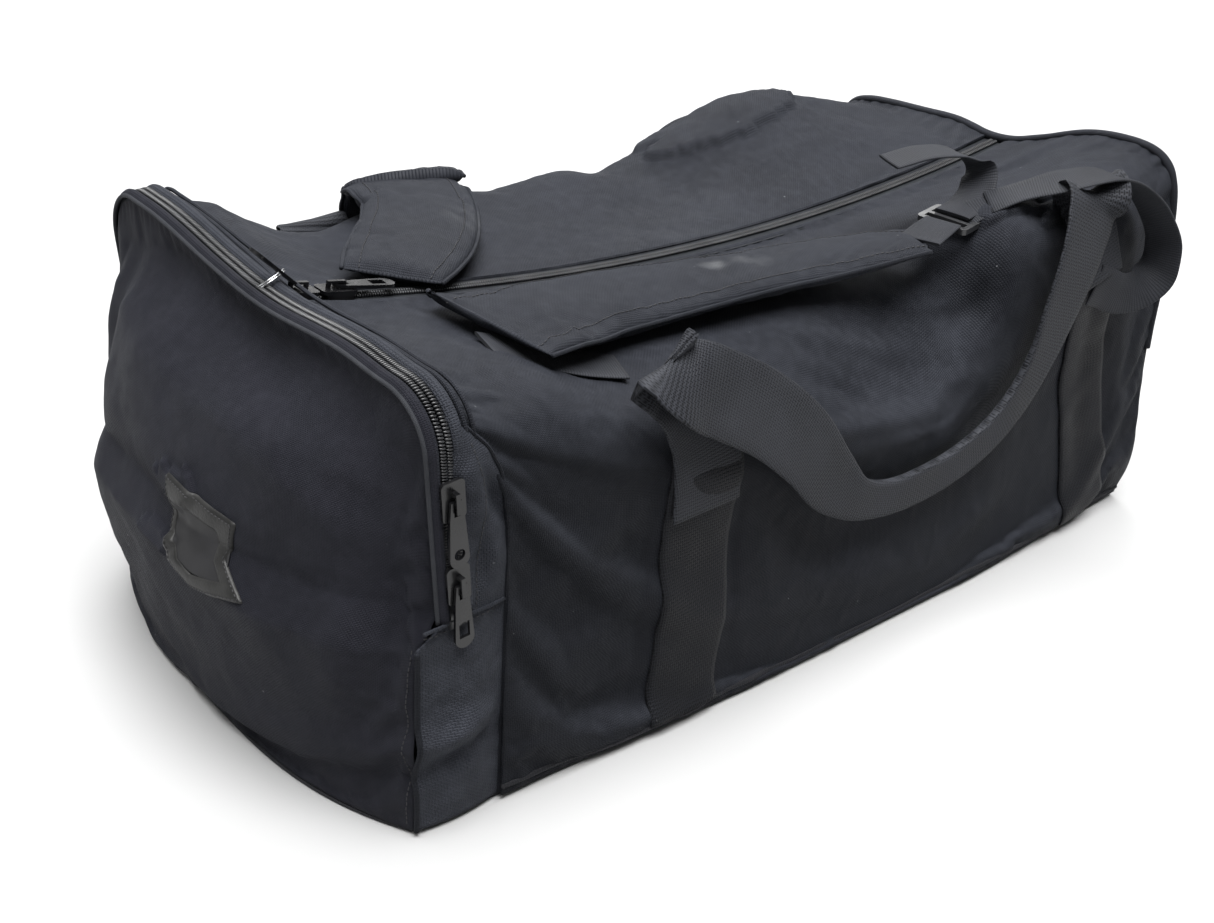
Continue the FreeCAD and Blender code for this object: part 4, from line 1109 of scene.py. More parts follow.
xs = np.linspace(-296, 307, 302)
main_line = np.stack([xs, xs * 0, centre_z(xs)], 1)
slope = (xs - 20) / 1650.0
main_up = np.stack([-slope, xs * 0, np.ones_like(xs)], 1)
main_up = unit(main_up)
coil_front = front(teeth("main_zip_teeth_front", main_line, main_up, -1, 0.12))
coil_rear = rear(teeth("main_zip_teeth_rear", main_line, main_up, 1, 0.12))
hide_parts("main_zip_coil_front", "main_zip_chain_left", "main_zip_chain_right")
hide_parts("main_zip_coil_rear")
for side, word, put_on in ((-1, "front", front), (1, "rear", rear)):
    stations = [((x, side * 6.9, float(centre_z(x)) - 0.1), (0, side, 0), (-(x - 20) / 1650, 0, 1), 12.2,
        0.8)
                for x in np.linspace(-297, 308, 26)]
    tape = put_on(ribbon("main_zip_tape_cloth_" + word, stations, "zip_tape", 3.0))
    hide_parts("main_zip_tape_" + word)
    lip_grid = (front_skin if side < 0 else rear_skin)
    lip_line = lip_grid[::6, 1] + np.array((0, 0, 0.1))
    put_on(tube("main_zip_lip_" + word, lip_line, 1.15, "oxford_cloth", 8, 2.5))


def spindle(c):
    """The end zip stands open between its two sliders."""
    z = c[2]
    if c[1] > 0 or z > 192 or z < 152:
        return 0.12
    return 0.12 + 2.7 * math.sin(math.pi * (z - 152) / 40.0) ** 1.2


line, out = arch_line(0.8, 0.0)
coil_bag = teeth("end_zip_teeth_bag", line, out, -1, spindle)
coil_flap = teeth("end_zip_teeth_flap", line, out, 1, spindle)
if coords(coil_bag)[:, 0].mean() < coords(coil_flap)[:, 0].mean():
    coil_bag, coil_flap = coil_flap, coil_bag
    coil_bag.name, coil_flap.name = "end_zip_row_bag", "end_zip_row_flap"
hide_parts("end_zip_coil_bag")
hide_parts("end_zip_coil_flap")
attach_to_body(coil_bag, "bag")
bend(coil_flap, "bag", "end_flap", end_weight)


def arch_band(name, x0, x1, rise, material, thick=0.9, body="bag", bulge=0.0):
    n = 7
    rows = []
    for k in range(n):
        f = k / (n - 1)
        pts, outward = arch_line(rise, x0 + (x1 - x0) * f)
        rows.append((pts + outward * bulge * math.sin(math.pi * f))[::3])
    p = np.stack(rows, 1)
    obj = sheet_mesh(name, p, material, thick, 1)
    fix_normals(obj)
    if body == "bag":
        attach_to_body(obj, "bag")
    else:
        bend(obj, "bag", "end_flap", end_weight)
    return obj


tape_bag = arch_band("end_zip_tape_cloth_bag", 0.9, 8.0, 0.6, "zip_tape")
tape_flap = arch_band("end_zip_tape_cloth_flap", -8.0, -0.9, 0.6, "zip_tape", body="flap")
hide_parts("end_zip_tape_bag")
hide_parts("end_zip_tape_flap")
# turned cloth edges each side of the chain, and the light piping on the panel's side
arch_band("end_zip_edge_bag", 4.6, 9.5, 1.0, "gusset_cloth", 1.2, bulge=1.6)
arch_band("end_zip_edge_flap", -9.6, -4.4, 1.0, "end_cloth", 1.2, body="flap", bulge=2.4)
pts, _ = arch_line(1.6, -10.4)
piping = tube("end_flap_piping_cord", pts[::5], 1.25, "edge_piping", 8, 2.0)
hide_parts("end_flap_piping")
bend(piping, "bag", "end_flap", end_weight)
# folds that run beside the zip on the bag's side, as on the real cloth
for k, (dx, r) in enumerate(((12.0, 1.5), (16.5, 1.2))):
    pts, _ = arch_line(-0.4, dx)
    keep = (pts[:, 2] > 214)
    wander = np.sin(pts[keep][:, 1] / 31.0 + k) * 1.5
    track = pts[keep] + np.stack([wander, wander * 0, wander * 0.2 - 0.4], 1)
    ends = smooth(np.minimum(np.arange(len(track)), len(track) - 1 - np.arange(len(track))) / 30.0)
    track[:, 2] -= (1 - ends) * 2.5
    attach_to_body(tube("zip_side_fold_%d" % k, track[::6], r, "oxford_cloth", 8, 2.5), "bag")


# ------------------------------------------------------------------ stitching

def stitches(name, path, place_at, attach, pitch=3.1, length=2.1, lift=0.15, material="thread"):
    """A dashed line of thread along path, laid on the cloth with place_at(*point)."""
    pts = np.asarray(path, float)
    s = np.concatenate([[0], np.cumsum(np.linalg.norm(np.diff(pts, axis=0), axis=1))])
    t = np.arange(0, s[-1], pitch)
    flat = np.stack([np.interp(t, s, pts[:, k]) for k in range(pts.shape[1])], 1)
    spots = [place_at(*f) for f in flat]
    c = np.array([q[0] for q in spots])
    n = np.array([q[1] for q in spots])
    along = unit(np.gradient(c, axis=0))
    items = []
    for k in range(len(c)):
        side = unit(np.cross(n[k], along[k]))
        items.append((c[k] + n[k] * lift, along[k] * length / 2, side * 0.34, n[k] * 0.3))
    return attach(capsules(name, items, material, 6))


def on_bag(obj):
    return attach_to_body(obj, "bag")


for side, word, attach in ((-1, "front", front), (1, "rear", rear)):
    run = [(x, side * 14.0) for x in np.linspace(-292, 303, 60)]
    stitches("zip_stitch_" + word, run, on_roof, attach)
stitches("top_stitch_front", [(-266, -22), (-238, -56), (-205, -88)], on_roof, front)
stitches("top_stitch_rear", [(-118, 8.5 + 6), (-100, 16), (-28, 26), (29, 14), (85, 15)], on_roof, rear)
for side in (-1, 1):
    w = "front" if side < 0 else "rear"
    stitches("gusset_stitch_" + w,
        [(-261.5, z) for z in range(6, 176, 6)] + [(-263.5, 190), (-268, 204), (-276, 217)],
             lambda x, z, s=side: on_wall(x, z, s), on_bag)
    stitches("gusset_cross_stitch_" + w, [(-312, 123), (-300, 121.5), (-266, 125)],
             lambda x, z, s=side: on_gusset(x, z, s), on_bag)
    stitches("gusset_side_stitch_" + w, [(-282, 128), (-280, 160), (-281, 196), (-288, 222)],
             lambda x, z, s=side: on_gusset(x, z, s), on_bag)
for r, word in ((-1, "front"), (1, "rear")):
    edge_stitch = [(r * 156.5, z) for z in range(8, 118, 6)]
    stitches("end_seam_stitch_" + word, edge_stitch, on_end,
        lambda o: bend(o, "bag", "end_flap", end_weight))

# seam rolls where panels meet
for side in (-1, 1):
    w = "front" if side < 0 else "rear"
    gp = gusset_p if side < 0 else gusset_q
    seam = gp[-1, ::4] + np.array((0, side * 0.3, 0))
    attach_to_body(tube("wall_seam_" + w, seam, 1.1, "oxford_cloth", 8, 2.5), "bag")
    col = gp[0, ::4]
    col = col[col[:, 2] < 120] + np.array((0.2, side * 0.2, 0))
    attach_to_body(tube("end_seam_" + w, col, 1.5, "oxford_cloth", 8, 2.5), "bag")
    cross = [on_gusset(x, 126.0 + (x + 312) * 0.04,
        side)[0] + np.array((0, side * 0.4, 0)) for x in range(-313, -262, 4)]
    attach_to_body(tube("cross_seam_" + w, cross, 1.0, "gusset_cloth", 8, 2.5), "bag")


# ------------------------------------------------------------------ handle legs and handles

def leg(name, side, x_foot, x_top, z_top, replaced):
    """Handle webbing sewn to the wall, following it."""
    z = np.arange(8.0, z_top, 2.5)
    v = np.linspace(-1, 1, 15)
    p = np.empty((len(z), len(v), 3))
    n = np.empty_like(p)
    for i, zi in enumerate(z):
        mid = x_foot + (x_top - x_foot) * (zi - z[0]) / (z[-1] - z[0])
        sway = 1.6 * math.sin(zi / 23.0 + x_foot)
        for j, vj in enumerate(v):
            hit, normal = on_wall(mid + sway + vj * 25.0, zi, side)
            p[i, j], n[i, j] = hit, normal
    for _ in range(3):
        p[1:-1] = (p[:-2] + p[1:-1] * 2 + p[2:]) / 4
        p[:, 1:-1] = (p[:, :-2] + p[:, 1:-1] * 2 + p[:, 2:]) / 4
    edge = (1 - np.abs(v) ** 10)[None, :]
    p[..., 1] += side * (1.3 + 0.9 * edge)
    uv = arc_uv(p)
    # the legs take the darker webbing copy, painted shade
    obj = sheet_mesh(name, p, "shaded_leg_webbing", 1.6, 1, uv)
    fix_normals(obj)
    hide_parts(replaced)
    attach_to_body(obj, "bag")
    word = name.replace("_webbing", "")
    for k, vx in enumerate((-22.4, 22.4)):
        line_pts = [(x_foot + (x_top - x_foot) * (zi - z[0]) / (z[-1] - z[0])
                     + 1.6 * math.sin(zi / 23.0 + x_foot) + vx, zi)
                    for zi in z[2:-2]]

        def put_at(x, zz, s=side):
            hit, normal = on_wall(x, zz, s)
            return hit + np.array((0, s * 2.35, 0)), normal
        stitches("%s_stitch_%d" % (word, k), line_pts, put_at, on_bag, 3.4, 2.2, 0.1)


leg("front_leg_left_webbing", -1, -140, -137, 176, "front_leg_left")
leg("front_leg_right_webbing", -1, 250, 208, 212, "front_leg_right")
leg("rear_leg_left_webbing", 1, -184, -181, 180, "rear_leg_left")
leg("rear_leg_right_webbing", 1, 172, 168, 214, "rear_leg_right")

UP = (0, 0, 1)
IN = (0, 1, 0)
OUT = (0, -1, 0)
front_handle_path = [
    ((-138, -169.5, 140), (1, 0, 0.02), OUT, 48, 2.4),
    ((-139, -168.5, 164), (1, 0, 0.02), OUT, 48, 2.4),
    ((-142, -166.5, 184), (0.98, 0.05, 0.12), OUT, 48, 2.4),
    ((-150, -164, 203), (0.96, 0.12, 0.22), (0.07, -0.96, 0.18), 48, 2.4),
    ((-162, -160, 220), (0.96, 0.22, 0.16), (0.17, -0.86, 0.36), 48, 2.4),
    ((-171, -162, 230), (0.97, 0.24, 0.04), (0.05, -0.2, -0.9), 48, 2.4),
    ((-163, -169, 224), (0.9, 0.3, 0.22), (-0.12, 0.73, -0.55), 48, 2.4),
    ((-138, -172, 210), (0.78, 0.3, 0.52), (-0.11, 0.85, -0.32), 48, 2.4),
    ((-105, -174, 190), (0.6, 0.28, 0.74), (-0.12, 0.94, -0.28), 48, 2.4),
    ((-72, -176.5, 162), (0.5, 0.18, 0.84), (-0.14, 0.95, -0.14), 46, 2.4),
    ((-46, -178, 132), (0.28, 0.08, 0.95), IN, 39, 2.8),
    ((-24, -178, 114), UP, IN, 28, 4.8),
    ((6, -177, 104), UP, IN, 24, 5.8),
    ((42, -177, 103), UP, IN, 24, 5.8),
    ((80, -177, 109.5), (-0.18, 0, 0.98), IN, 24, 5.8),
    ((108, -177, 122), (-0.42, 0, 0.9), IN, 24, 5.8),
    ((128, -177.5, 141), (-0.66, 0, 0.75), IN, 25, 5.4),
    ((142, -178, 165), (-0.86, 0, 0.5), IN, 30, 4.2),
    ((152, -178, 192), (-0.94, 0, 0.34), IN, 40, 2.6),
    ((162, -177, 221), (-0.97, 0, 0.22), (0, 0.98, -0.2), 46, 2.4),
    ((172, -172, 245), (-0.98, 0, 0.12), (0.1, 0.85, -0.5), 48, 2.4),
    ((181, -165, 258), (-1, 0, 0.05), (0, 0.3, -1), 48, 2.4),
    ((190, -157, 257), (-1, 0, -0.08), (0, -0.6, -0.8), 48, 2.4),
    ((198, -155, 243), (-1, 0, -0.1), (0, -1, -0.2), 48, 2.4),
    ((204, -161, 219), (-1, 0, -0.1), (0, -1, -0.1), 48, 2.4),
    ((209, -167.5, 196), (-1, 0, -0.12), OUT, 48, 2.4),
]
rear_handle_path = [
    ((-181.5, 166.8, 150), (1, 0, 0), (0, 1, 0), 48, 2.4),
    ((-181.5, 166.6, 172), (1, 0, 0), (0, 1, 0), 48, 2.4),
    ((-181, 164, 187), (1, 0, 0.05), (0, 1, 0.3), 48, 2.4),
    ((-179, 163, 198), (1, 0, 0.05), (0, 0.5, 1), 48, 2.4),
    ((-178, 168, 201), (1, 0, 0.06), (0, -0.5, 1), 48, 2.4),
    ((-177, 176, 188), (1, 0, 0.1), (0, -1, 0.2), 48, 2.4),
    ((-173, 179, 158), (1, 0, 0.2), (0, -1, 0), 42, 2.6),
    ((-158, 179, 121), (0.85, 0, 0.5), (0, -1, 0), 30, 4.2),
    ((-124, 178, 97), (0.35, 0, 0.94), (0, -1, 0), 25, 5.6),
    ((-60, 178, 88), UP, (0, -1, 0), 24, 5.8),
    ((10, 178, 87), UP, (0, -1, 0), 24, 5.8),
    ((76, 178, 92), (-0.1, 0, 0.99), (0, -1, 0), 24, 5.8),
    ((112, 178, 108), (-0.5, 0, 0.87), (0, -1, 0), 25, 5.4),
    ((130, 179, 142), (-0.85, 0.1, 0.5), (0, -1, 0), 32, 4.2),
    ((140, 179, 182), (-0.9, 0.35, 0.25), (0, -1, 0), 42, 2.6),
    ((150, 174, 208), (-0.2, 0.95, 0.0), (-0.8, -0.3, 0.5), 34, 2.4),
    ((164, 168, 225), (0.45, 0.85, -0.25), (-0.3, 0.2, 1), 24, 3.4),
    ((183, 164, 229), (0.45, 0.85, -0.25), (0.3, 0.2, 1), 24, 3.4),
    ((193, 162, 219), (-0.2, 0.95, -0.2), (0.9, 0.3, 0.3), 34, 2.4),
    ((187, 164, 208), (-0.92, 0.3, -0.1), (0.4, 0.9, 0.1), 48, 2.4),
    ((175, 166.5, 196), (-1, 0, 0), (0, 1, 0), 48, 2.4),
    ((169, 167.3, 182), (-1, 0, 0), (0, 1, 0), 48, 2.4),
]


handle_f = ribbon("front_handle_webbing", front_handle_path, "handle_webbing", 2.5)
handle_r = ribbon("rear_handle_webbing", rear_handle_path, "handle_webbing", 2.5)
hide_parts("front_handle")
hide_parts("rear_handle")


def path_weight(obj, path, crest_a, crest_b, ramp=10.0):
    """0 on the sewn ends, 1 on the free loop, from each vertex's station along the path."""
    c = np.array([s[0] for s in path], float)
    s = np.concatenate([[0], np.cumsum(np.linalg.norm(np.diff(c, axis=0), axis=1))])
    per_ring = 20
    count = len(obj.data.vertices) // per_ring
    t = np.repeat(np.linspace(0, s[-1], count), per_ring)
    sa, sb = s[crest_a], s[crest_b]
    w = smooth((t - sa + ramp) / (2 * ramp)) * smooth((sb + ramp - t) / (2 * ramp))
    return w


for obj, path, ca, cb, body in ((handle_f, front_handle_path, 5, 21, "front_handle"),
                                (handle_r, rear_handle_path, 4, 17, "rear_handle")):
    w = path_weight(obj, path, ca, cb)
    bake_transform(obj)


# ------------------------------------------------------------------ shoulder pads

def pillow(name, stations, material, seed=1, puckers=1.2, step=3.0, close=(True, True)):
    """A padded strap: crowned both sides, pinched to a bound edge all round."""
    c, a, f, w, h, t = frames(*[[s[k] for s in stations] for k in range(5)], step)
    v = np.linspace(-1, 1, 25)
    crown = (1 - np.abs(v) ** 3.2) ** 0.55
    vv = np.concatenate([v, v[-2:0:-1]])
    cc = np.concatenate([crown, -crown[-2:0:-1]])
    length = t[-1]
    ends = np.ones_like(t)
    if close[0]:
        ends = ends * np.sqrt(np.clip(t / 9.0, 0.0, 1))
    if close[1]:
        ends = ends * np.sqrt(np.clip((length - t) / 9.0, 0.0, 1))
    ends = np.maximum(ends, 0.08)
    height = cc[None, :] * ends[:, None] * h[:, None] / 2 + np.sign(cc)[None, :] * 0.45
    p = c[:, None] + a[:, None] * (vv[None, :] * w[:, None] / 2)[..., None] + f[:, None] * height[..., None]
    flat = p.reshape(-1, 3)
    rim = np.abs(vv)[None, :] ** 3 * np.ones_like(t)[:, None]
    ruck = fractal(flat, 9.0, seed).reshape(height.shape) * puckers * (0.25 + 0.75 * rim) \
        + fractal(flat, 26.0, seed + 2).reshape(height.shape) * puckers * 1.1
    p = p + f[:, None] * (ruck * np.sign(cc)[None, :] * (np.abs(cc)[None, :] ** 0.3))[..., None] * ends[:,
        None, None]
    nu, nv = p.shape[:2]
    faces = quads(nu, nv, 0, False, True).tolist()
    faces += [list(range(nv)), [(nu - 1) * nv + j for j in range(nv)]]
    uvs = np.stack([np.repeat(t[:, None], nv, 1), np.repeat((vv * 1.0)[None, :], nu, 0) * w[:, None] / 2],
        -1).reshape(-1, 2)
    obj = new_mesh(name, p.reshape(-1, 3), faces, material, uvs)
    fix_normals(obj)
    inflate(obj, 3.2)
    q = coords(obj).reshape(nu, nv, 3) / MM
    edges = {"low": q[:, 0], "high": q[:, 24]}
    return obj, edges, q


def inflate(obj, cap):
    """Cloth puffed from inside: the mesh keeps its vertices, and none moves further than cap mm."""
    before = coords(obj)
    cloth = obj.modifiers.new("cloth", "CLOTH")
    s = cloth.settings
    s.quality = 5
    s.mass = 0.2
    s.tension_stiffness = s.compression_stiffness = 12
    s.bending_stiffness = 2
    s.use_pressure = True
    s.uniform_pressure_force = 2.5
    s.shrink_min = -0.02
    s.effector_weights.gravity = 0
    cloth.collision_settings.use_collision = False
    cloth.point_cache.frame_start, cloth.point_cache.frame_end = 1, 14
    for f in range(1, 15):
        bpy.context.scene.frame_set(f)
    done = obj.evaluated_get(bpy.context.evaluated_depsgraph_get())
    after = np.zeros(before.size)
    done.data.vertices.foreach_get("co", after)
    after = after.reshape(-1, 3)
    obj.modifiers.remove(cloth)
    bpy.context.scene.frame_set(1)
    move = after - before
    far = np.linalg.norm(move, axis=1, keepdims=True)
    obj.data.vertices.foreach_set("co",
        (before + move * np.minimum(1, cap * MM / np.maximum(far, 1e-9))).ravel())
    obj.data.update()


def level_across(route):
    """Stations of a pad from (centre, width, thick, roll) rows, its width level and square to the route."""
    rows = []
    for i, (centre, width, thick, roll) in enumerate(route):
        a = np.array(route[max(i - 1, 0)][0], float)
        b = np.array(route[min(i + 1, len(route) - 1)][0], float)
        run = unit(b - a)
        across = unit(np.cross((0, 0, 1), run))
        face = np.cross(run, across)
        r = math.radians(roll)
        across, face = across * math.cos(r) + face * math.sin(r), face * math.cos(r) - across * math.sin(r)
        rows.append((centre, across, face, width, thick))
    return rows


front_pad_route = [
    ((-214, -72, 227), 92, 11, 4), ((-180, -66, 222), 84, 12, 3), ((-140, -61, 218), 74, 12, 2),
    ((-95, -62, 216), 66, 12, 2),
    ((-50, -66, 215), 62, 11, 0), ((-10, -74, 217), 60, 10, -2), ((30, -87, 221), 57, 9, -2),
    ((58, -103, 227), 52, 7, 0),
    ((78, -117, 232), 44, 5, 2),
]
pad_rows = level_across(front_pad_route)
front_pad, pad_edges, pad_grid = pillow("front_pad_cloth", pad_rows, "pad_cloth", seed=51, puckers=1.1)
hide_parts("front_shoulder_pad")
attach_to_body(front_pad, "front_strap")

rear_top_route = [
    ((-222, 10, 229), 56, 10, 2), ((-200, 32, 226), 66, 12, 2), ((-176, 56, 223), 72, 13, 2),
    ((-152, 84, 222), 74, 13, 2),
    ((-138, 106, 224), 74, 13, 0), ((-130, 128, 226), 76, 13, 0), ((-125, 143, 224), 78, 12, 0),
]
rear_top, rear_top_edges, rear_top_grid = pillow(
    "rear_pad_top_cloth", level_across(rear_top_route), "pad_cloth", seed=57, puckers=1.2,
    close=(True, False))
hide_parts("rear_pad_top")


def pad_top_weight(p):
    return 1 - smooth((p[:, 1] - 0.112) / 0.03)


bend(rear_top, "bag", "top_rear_flap", pad_top_weight)
X_AXIS = (1, 0, 0)
rear_drop_path = [
    ((-124.5, 141, 224.5), (0.95, -0.31, 0), (0, 0.2, 1), 78, 12),
    ((-119, 155, 220), (0.98, -0.16, 0), (0, 0.6, 0.8), 80, 11),
    ((-115, 166, 210), (1, -0.05, 0), (0, 0.9, 0.4), 81, 10),
    ((-112, 170.5, 200), X_AXIS, (0, 1, 0), 80, 10),
    ((-110, 171, 180), X_AXIS, (0, 1, 0), 76, 10),
    ((-107, 171, 155), X_AXIS, (0, 1, 0), 66, 10),
    ((-105, 170, 138), X_AXIS, (0, 1, 0), 56, 8),
    ((-103.5, 169, 127), X_AXIS, (0, 1, 0), 46, 5),
]
rear_drop, rear_drop_edges, _ = pillow("rear_pad_drop_cloth", rear_drop_path, "pad_cloth", seed=61,
    puckers=1.0,
                                          close=(False, True))
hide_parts("rear_pad_drop")


def drop_weight(p):
    return 1 - smooth((p[:, 2] - 0.198) / 0.024)


bend(rear_drop, "bag", "rear_strap", drop_weight)


def binding(name, edges, attach):
    """Bound edges along both sides of a pad."""
    for key, line_pts in edges.items():
        attach(tube("%s_%s" % (name, key), line_pts[::2], 1.35, "pad_cloth", 8, 2.5))


binding("front_pad_binding", pad_edges, lambda o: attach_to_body(o, "front_strap"))
binding("rear_pad_binding", rear_top_edges, lambda o: bend(o, "bag", "top_rear_flap", pad_top_weight))
binding("rear_drop_binding", rear_drop_edges, lambda o: bend(o, "bag", "rear_strap", drop_weight))


def pad_stitch(name, grid, column, attach, lift=0.4):
    line_pts = grid[:, column]
    beside = grid[:, column + 1] - grid[:, column]
    s = np.concatenate([[0], np.cumsum(np.linalg.norm(np.diff(line_pts, axis=0), axis=1))])
    t = np.arange(2.0, s[-1] - 2, 3.2)
    c = np.stack([np.interp(t, s, line_pts[:, k]) for k in range(3)], 1)
    b = np.stack([np.interp(t, s, beside[:, k]) for k in range(3)], 1)
    along = unit(np.gradient(c, axis=0))
    n = unit(np.cross(along, b))
    n = n * np.sign(n[:, 2:3] + 1e-6)
    items = [(c[k] + n[k] * lift, along[k] * 1.1, unit(b[k]) * 0.32, n[k] * 0.3) for k in range(len(c))]
    attach(capsules(name, items, "thread", 6))


pad_stitch("front_pad_stitch_a", pad_grid, 3, lambda o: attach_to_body(o, "front_strap"))
pad_stitch("front_pad_stitch_b", pad_grid, 20, lambda o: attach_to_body(o, "front_strap"))
pad_stitch("rear_pad_stitch_a", rear_top_grid, 3, lambda o: bend(o, "bag", "top_rear_flap", pad_top_weight))
pad_stitch("rear_pad_stitch_b", rear_top_grid, 20,
    lambda o: bend(o, "bag", "top_rear_flap", pad_top_weight))


# ------------------------------------------------------------------ strap webbing

def roof(x, y, rise):
    hit, _ = on_roof(x, y)
    return np.array((x, y, hit[2] + rise))


anchor = ribbon("front_anchor_webbing", [
    (roof(-222, -84, 2.2), (0, 1, 0.1), UP, 36, 1.6), (roof(-205, -88, 2.2), (0, 1, 0.1), UP, 36, 1.6),
    (roof(-180, -100, 2.2), (0, 1, 0.05), UP, 35, 1.6), (roof(-155, -112, 2.4), (0, 1, 0), UP, 34, 1.6)],
    "strap_webbing", 2.5)
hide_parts("front_strap_anchor")
front(anchor)
anchor = ribbon("rear_anchor_webbing", [
    (roof(-222, 22, 2.0), (0.3, 1, 0.1), UP, 34, 1.5), (roof(-208, 30, 2.0), (0.3, 1, 0.1), UP, 34, 1.5),
    (roof(-192, 38, 2.2), (0.3, 1, 0.1), UP, 34, 1.5)], "strap_webbing", 2.5)
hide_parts("rear_strap_anchor")
rear(anchor)

buckle_low, buckle_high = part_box("front_buckle")
buckle_mid = np.array((buckle_low + buckle_high) / 2) / MM
pad_web = ribbon("front_pad_strap", [
    ((78, -116, 232.5), (0.2, 1, 0), UP, 28, 1.6),
    ((95, -112.5, buckle_mid[2] - 0.5), (0.1, 1, 0), UP, 27, 1.6),
    ((107, -110.5, buckle_mid[2] + 1.6), (0, 1, 0), UP, 25, 1.6)], "strap_webbing", 2.0)
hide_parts("front_pad_webbing")
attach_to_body(pad_web, "front_strap")
tail = ribbon("front_tail_webbing", [
    ((118, -108, buckle_mid[2] + 3.4), (0, 1, 0), UP, 25, 1.6),
    ((134, -106, 242), (0, 1, 0), (-0.2, 0, 1), 25, 1.6),
    ((149, -101.5, 250), (0, 1, 0), (-0.5, 0, 0.86), 25, 1.6),
    ((155.5, -95, 260), (0, 1, 0), (-1, 0, 0), 25, 1.6),
    ((146, -87, 268), (0.15, 1, 0), (-0.5, 0, -0.86), 25, 1.6),
    ((124, -78, 270.5), (0.25, 1, 0), (0.1, 0, -1), 25, 1.6),
    ((98, -68, 265), (0.3, 1, 0), (0.2, 0, -1), 25, 1.6)], "strap_webbing", 2.0, crown=0.4)
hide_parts("front_strap_tail")
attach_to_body(tail, "front_strap")

adjuster = ribbon("front_adjuster_loop", [
    ((205, -165.5, 194), (0, 0, 1), OUT, 28, 1.6), ((216, -166.5, 190), (0, 0, 1), OUT, 28, 1.6),
    ((230, -169.5, 184), (0, 0.05, 1), (0, -1, 0.05), 28, 1.6),
    ((248, -174, 185), (0, 0.35, 1), (-0.2, -1, 0.35), 28, 1.6),
    ((260, -177, 196), (0.1, 0.8, 0.6), (-0.9, -0.1, 0.5), 28, 1.6),
    ((262, -176, 214), (0, 1, 0.2), (-1, 0, 0), 28, 1.6),
    ((252, -170, 236), (0, 1, 0), (-0.7, 0, -0.7), 28, 1.6),
    ((231, -163, 256), (0, 1, 0), (-0.2, 0, -1), 28, 1.6),
    ((204, -160, 267), (0, 1, 0), (0, 0, -1), 28, 1.6),
    ((172, -151, 266), (0.1, 1, 0), (0.2, 0, -1), 28, 1.6),
    ((152, -132, 256), (0.5, 0.8, 0), (0, 0, -1), 27, 1.6),
    ((138, -119, 247), (0.3, 0.95, 0), (0, 0, -1), 26, 1.6)],
    "strap_webbing", 2.5, crown=0.5)
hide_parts("front_adjuster_webbing", "front_adjuster_end")


def adjuster_weight(p):
    return smooth((0.176 - p[:, 0]) / 0.03) * smooth((p[:, 2] - 0.22) / 0.01)


bend(adjuster, "bag", "top_front_flap", adjuster_weight)
link = ribbon("front_adjuster_link", [
    ((141, -121, 246.5), (0.3, 0.95, 0), UP, 25, 1.5), ((131, -114, 241.5), (0.15, 1, 0), UP, 25, 1.5),
    ((122, -109.5, buckle_mid[2] + 0.2), (0, 1, 0), UP, 25, 1.5)], "strap_webbing", 2.0)
bend(link, "top_front_flap", "front_strap", lambda p: smooth((0.140 - p[:, 0]) / 0.016))

rear_run = ribbon("rear_adjuster_strap", [
    ((-99, 166.5, 104), (0.15, 0, 1), (0, 1, 0), 26, 1.6),
    ((-78, 166.5, 100), (0.15, 0, 1), (0, 1, 0), 28, 1.6),
    ((0, 167.5, 85), (0.2, 0, 1), (0, 1, 0), 28, 1.6), ((60, 168, 74), (0.2, 0, 1), (0, 1, 0), 28, 1.6),
    ((140, 169.8, 60), (0.2, 0, 1), (0, 1, 0), 28, 1.6),
    ((200, 169.8, 49), (0.2, 0, 1), (0, 1, 0), 28, 1.6),
    ((285, 166.5, 34), (0.2, 0, 1), (0, 1, 0), 28, 1.6)], "strap_webbing", 3.0, ripple=0.3)
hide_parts("rear_adjuster_webbing")
bend(rear_run, "bag", "rear_strap", lambda p: smooth((-0.05 - p[:, 0]) / 0.04))
rear_tail = ribbon("rear_tail_webbing", [
    ((-98, 169, 108), (1, 0, 0.2), (0, 1, 0), 25, 1.6), ((-96, 169.5, 96), (1, 0, 0.2), (0, 1, 0), 25, 1.6),
    ((-90, 170, 64), (1, 0, 0.2), (0, 1, 0), 25, 1.6), ((-80, 168, 28), (1, 0, 0.3), (0, 1, 0), 25, 1.6)],
    "strap_webbing", 2.5, ripple=0.4)
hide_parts("rear_strap_tail")
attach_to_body(rear_tail, "rear_strap")
pad_end = ribbon("rear_pad_strap", [
    ((-103.5, 169, 129), X_AXIS, (0, 1, 0), 28, 1.6), ((-101, 167, 118), X_AXIS, (0, 1, 0), 26, 1.6)],
    "strap_webbing", 2.0)
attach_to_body(pad_end, "rear_strap")


# ------------------------------------------------------------------ ID window

def window_patch(name, outline, hole, material, lift, thick):
    """Patch on the end panel between a crooked outline and its hole, both as (y, z) corner lists."""
    per = 26
    def dense(corners):
        pts = []
        for a, b in zip(corners, corners[1:] + corners[:1]):
            for k in range(per):
                pts.append(np.array(a) + (np.array(b) - np.array(a)) * k / per)
        pts = np.array(pts)
        for _ in range(2):
            pts = (np.roll(pts, 1, 0) + pts * 2 + np.roll(pts, -1, 0)) / 4
        return pts
    outer, inner = dense(outline), dense(hole)
    rows = []
    for f, rise in ((0, 0.0), (0.04, 0.75), (0.2, 1.0), (0.5, 1.0), (0.8, 0.95), (0.95, 0.8), (1.0, 0.2)):
        mix = outer * (1 - f) + inner * f
        row = []
        for y, z in mix:
            hit, n = on_end(y, z)
            row.append(hit + n * (lift + thick * rise))
        rows.append(row)
    p = np.array(rows)
    nu, nv = p.shape[:2]
    obj = new_mesh(name, p.reshape(-1, 3), quads(nu, nv, 0, False, True), material)
    fix_normals(obj)
    return bend(obj, "bag", "end_flap", end_weight)


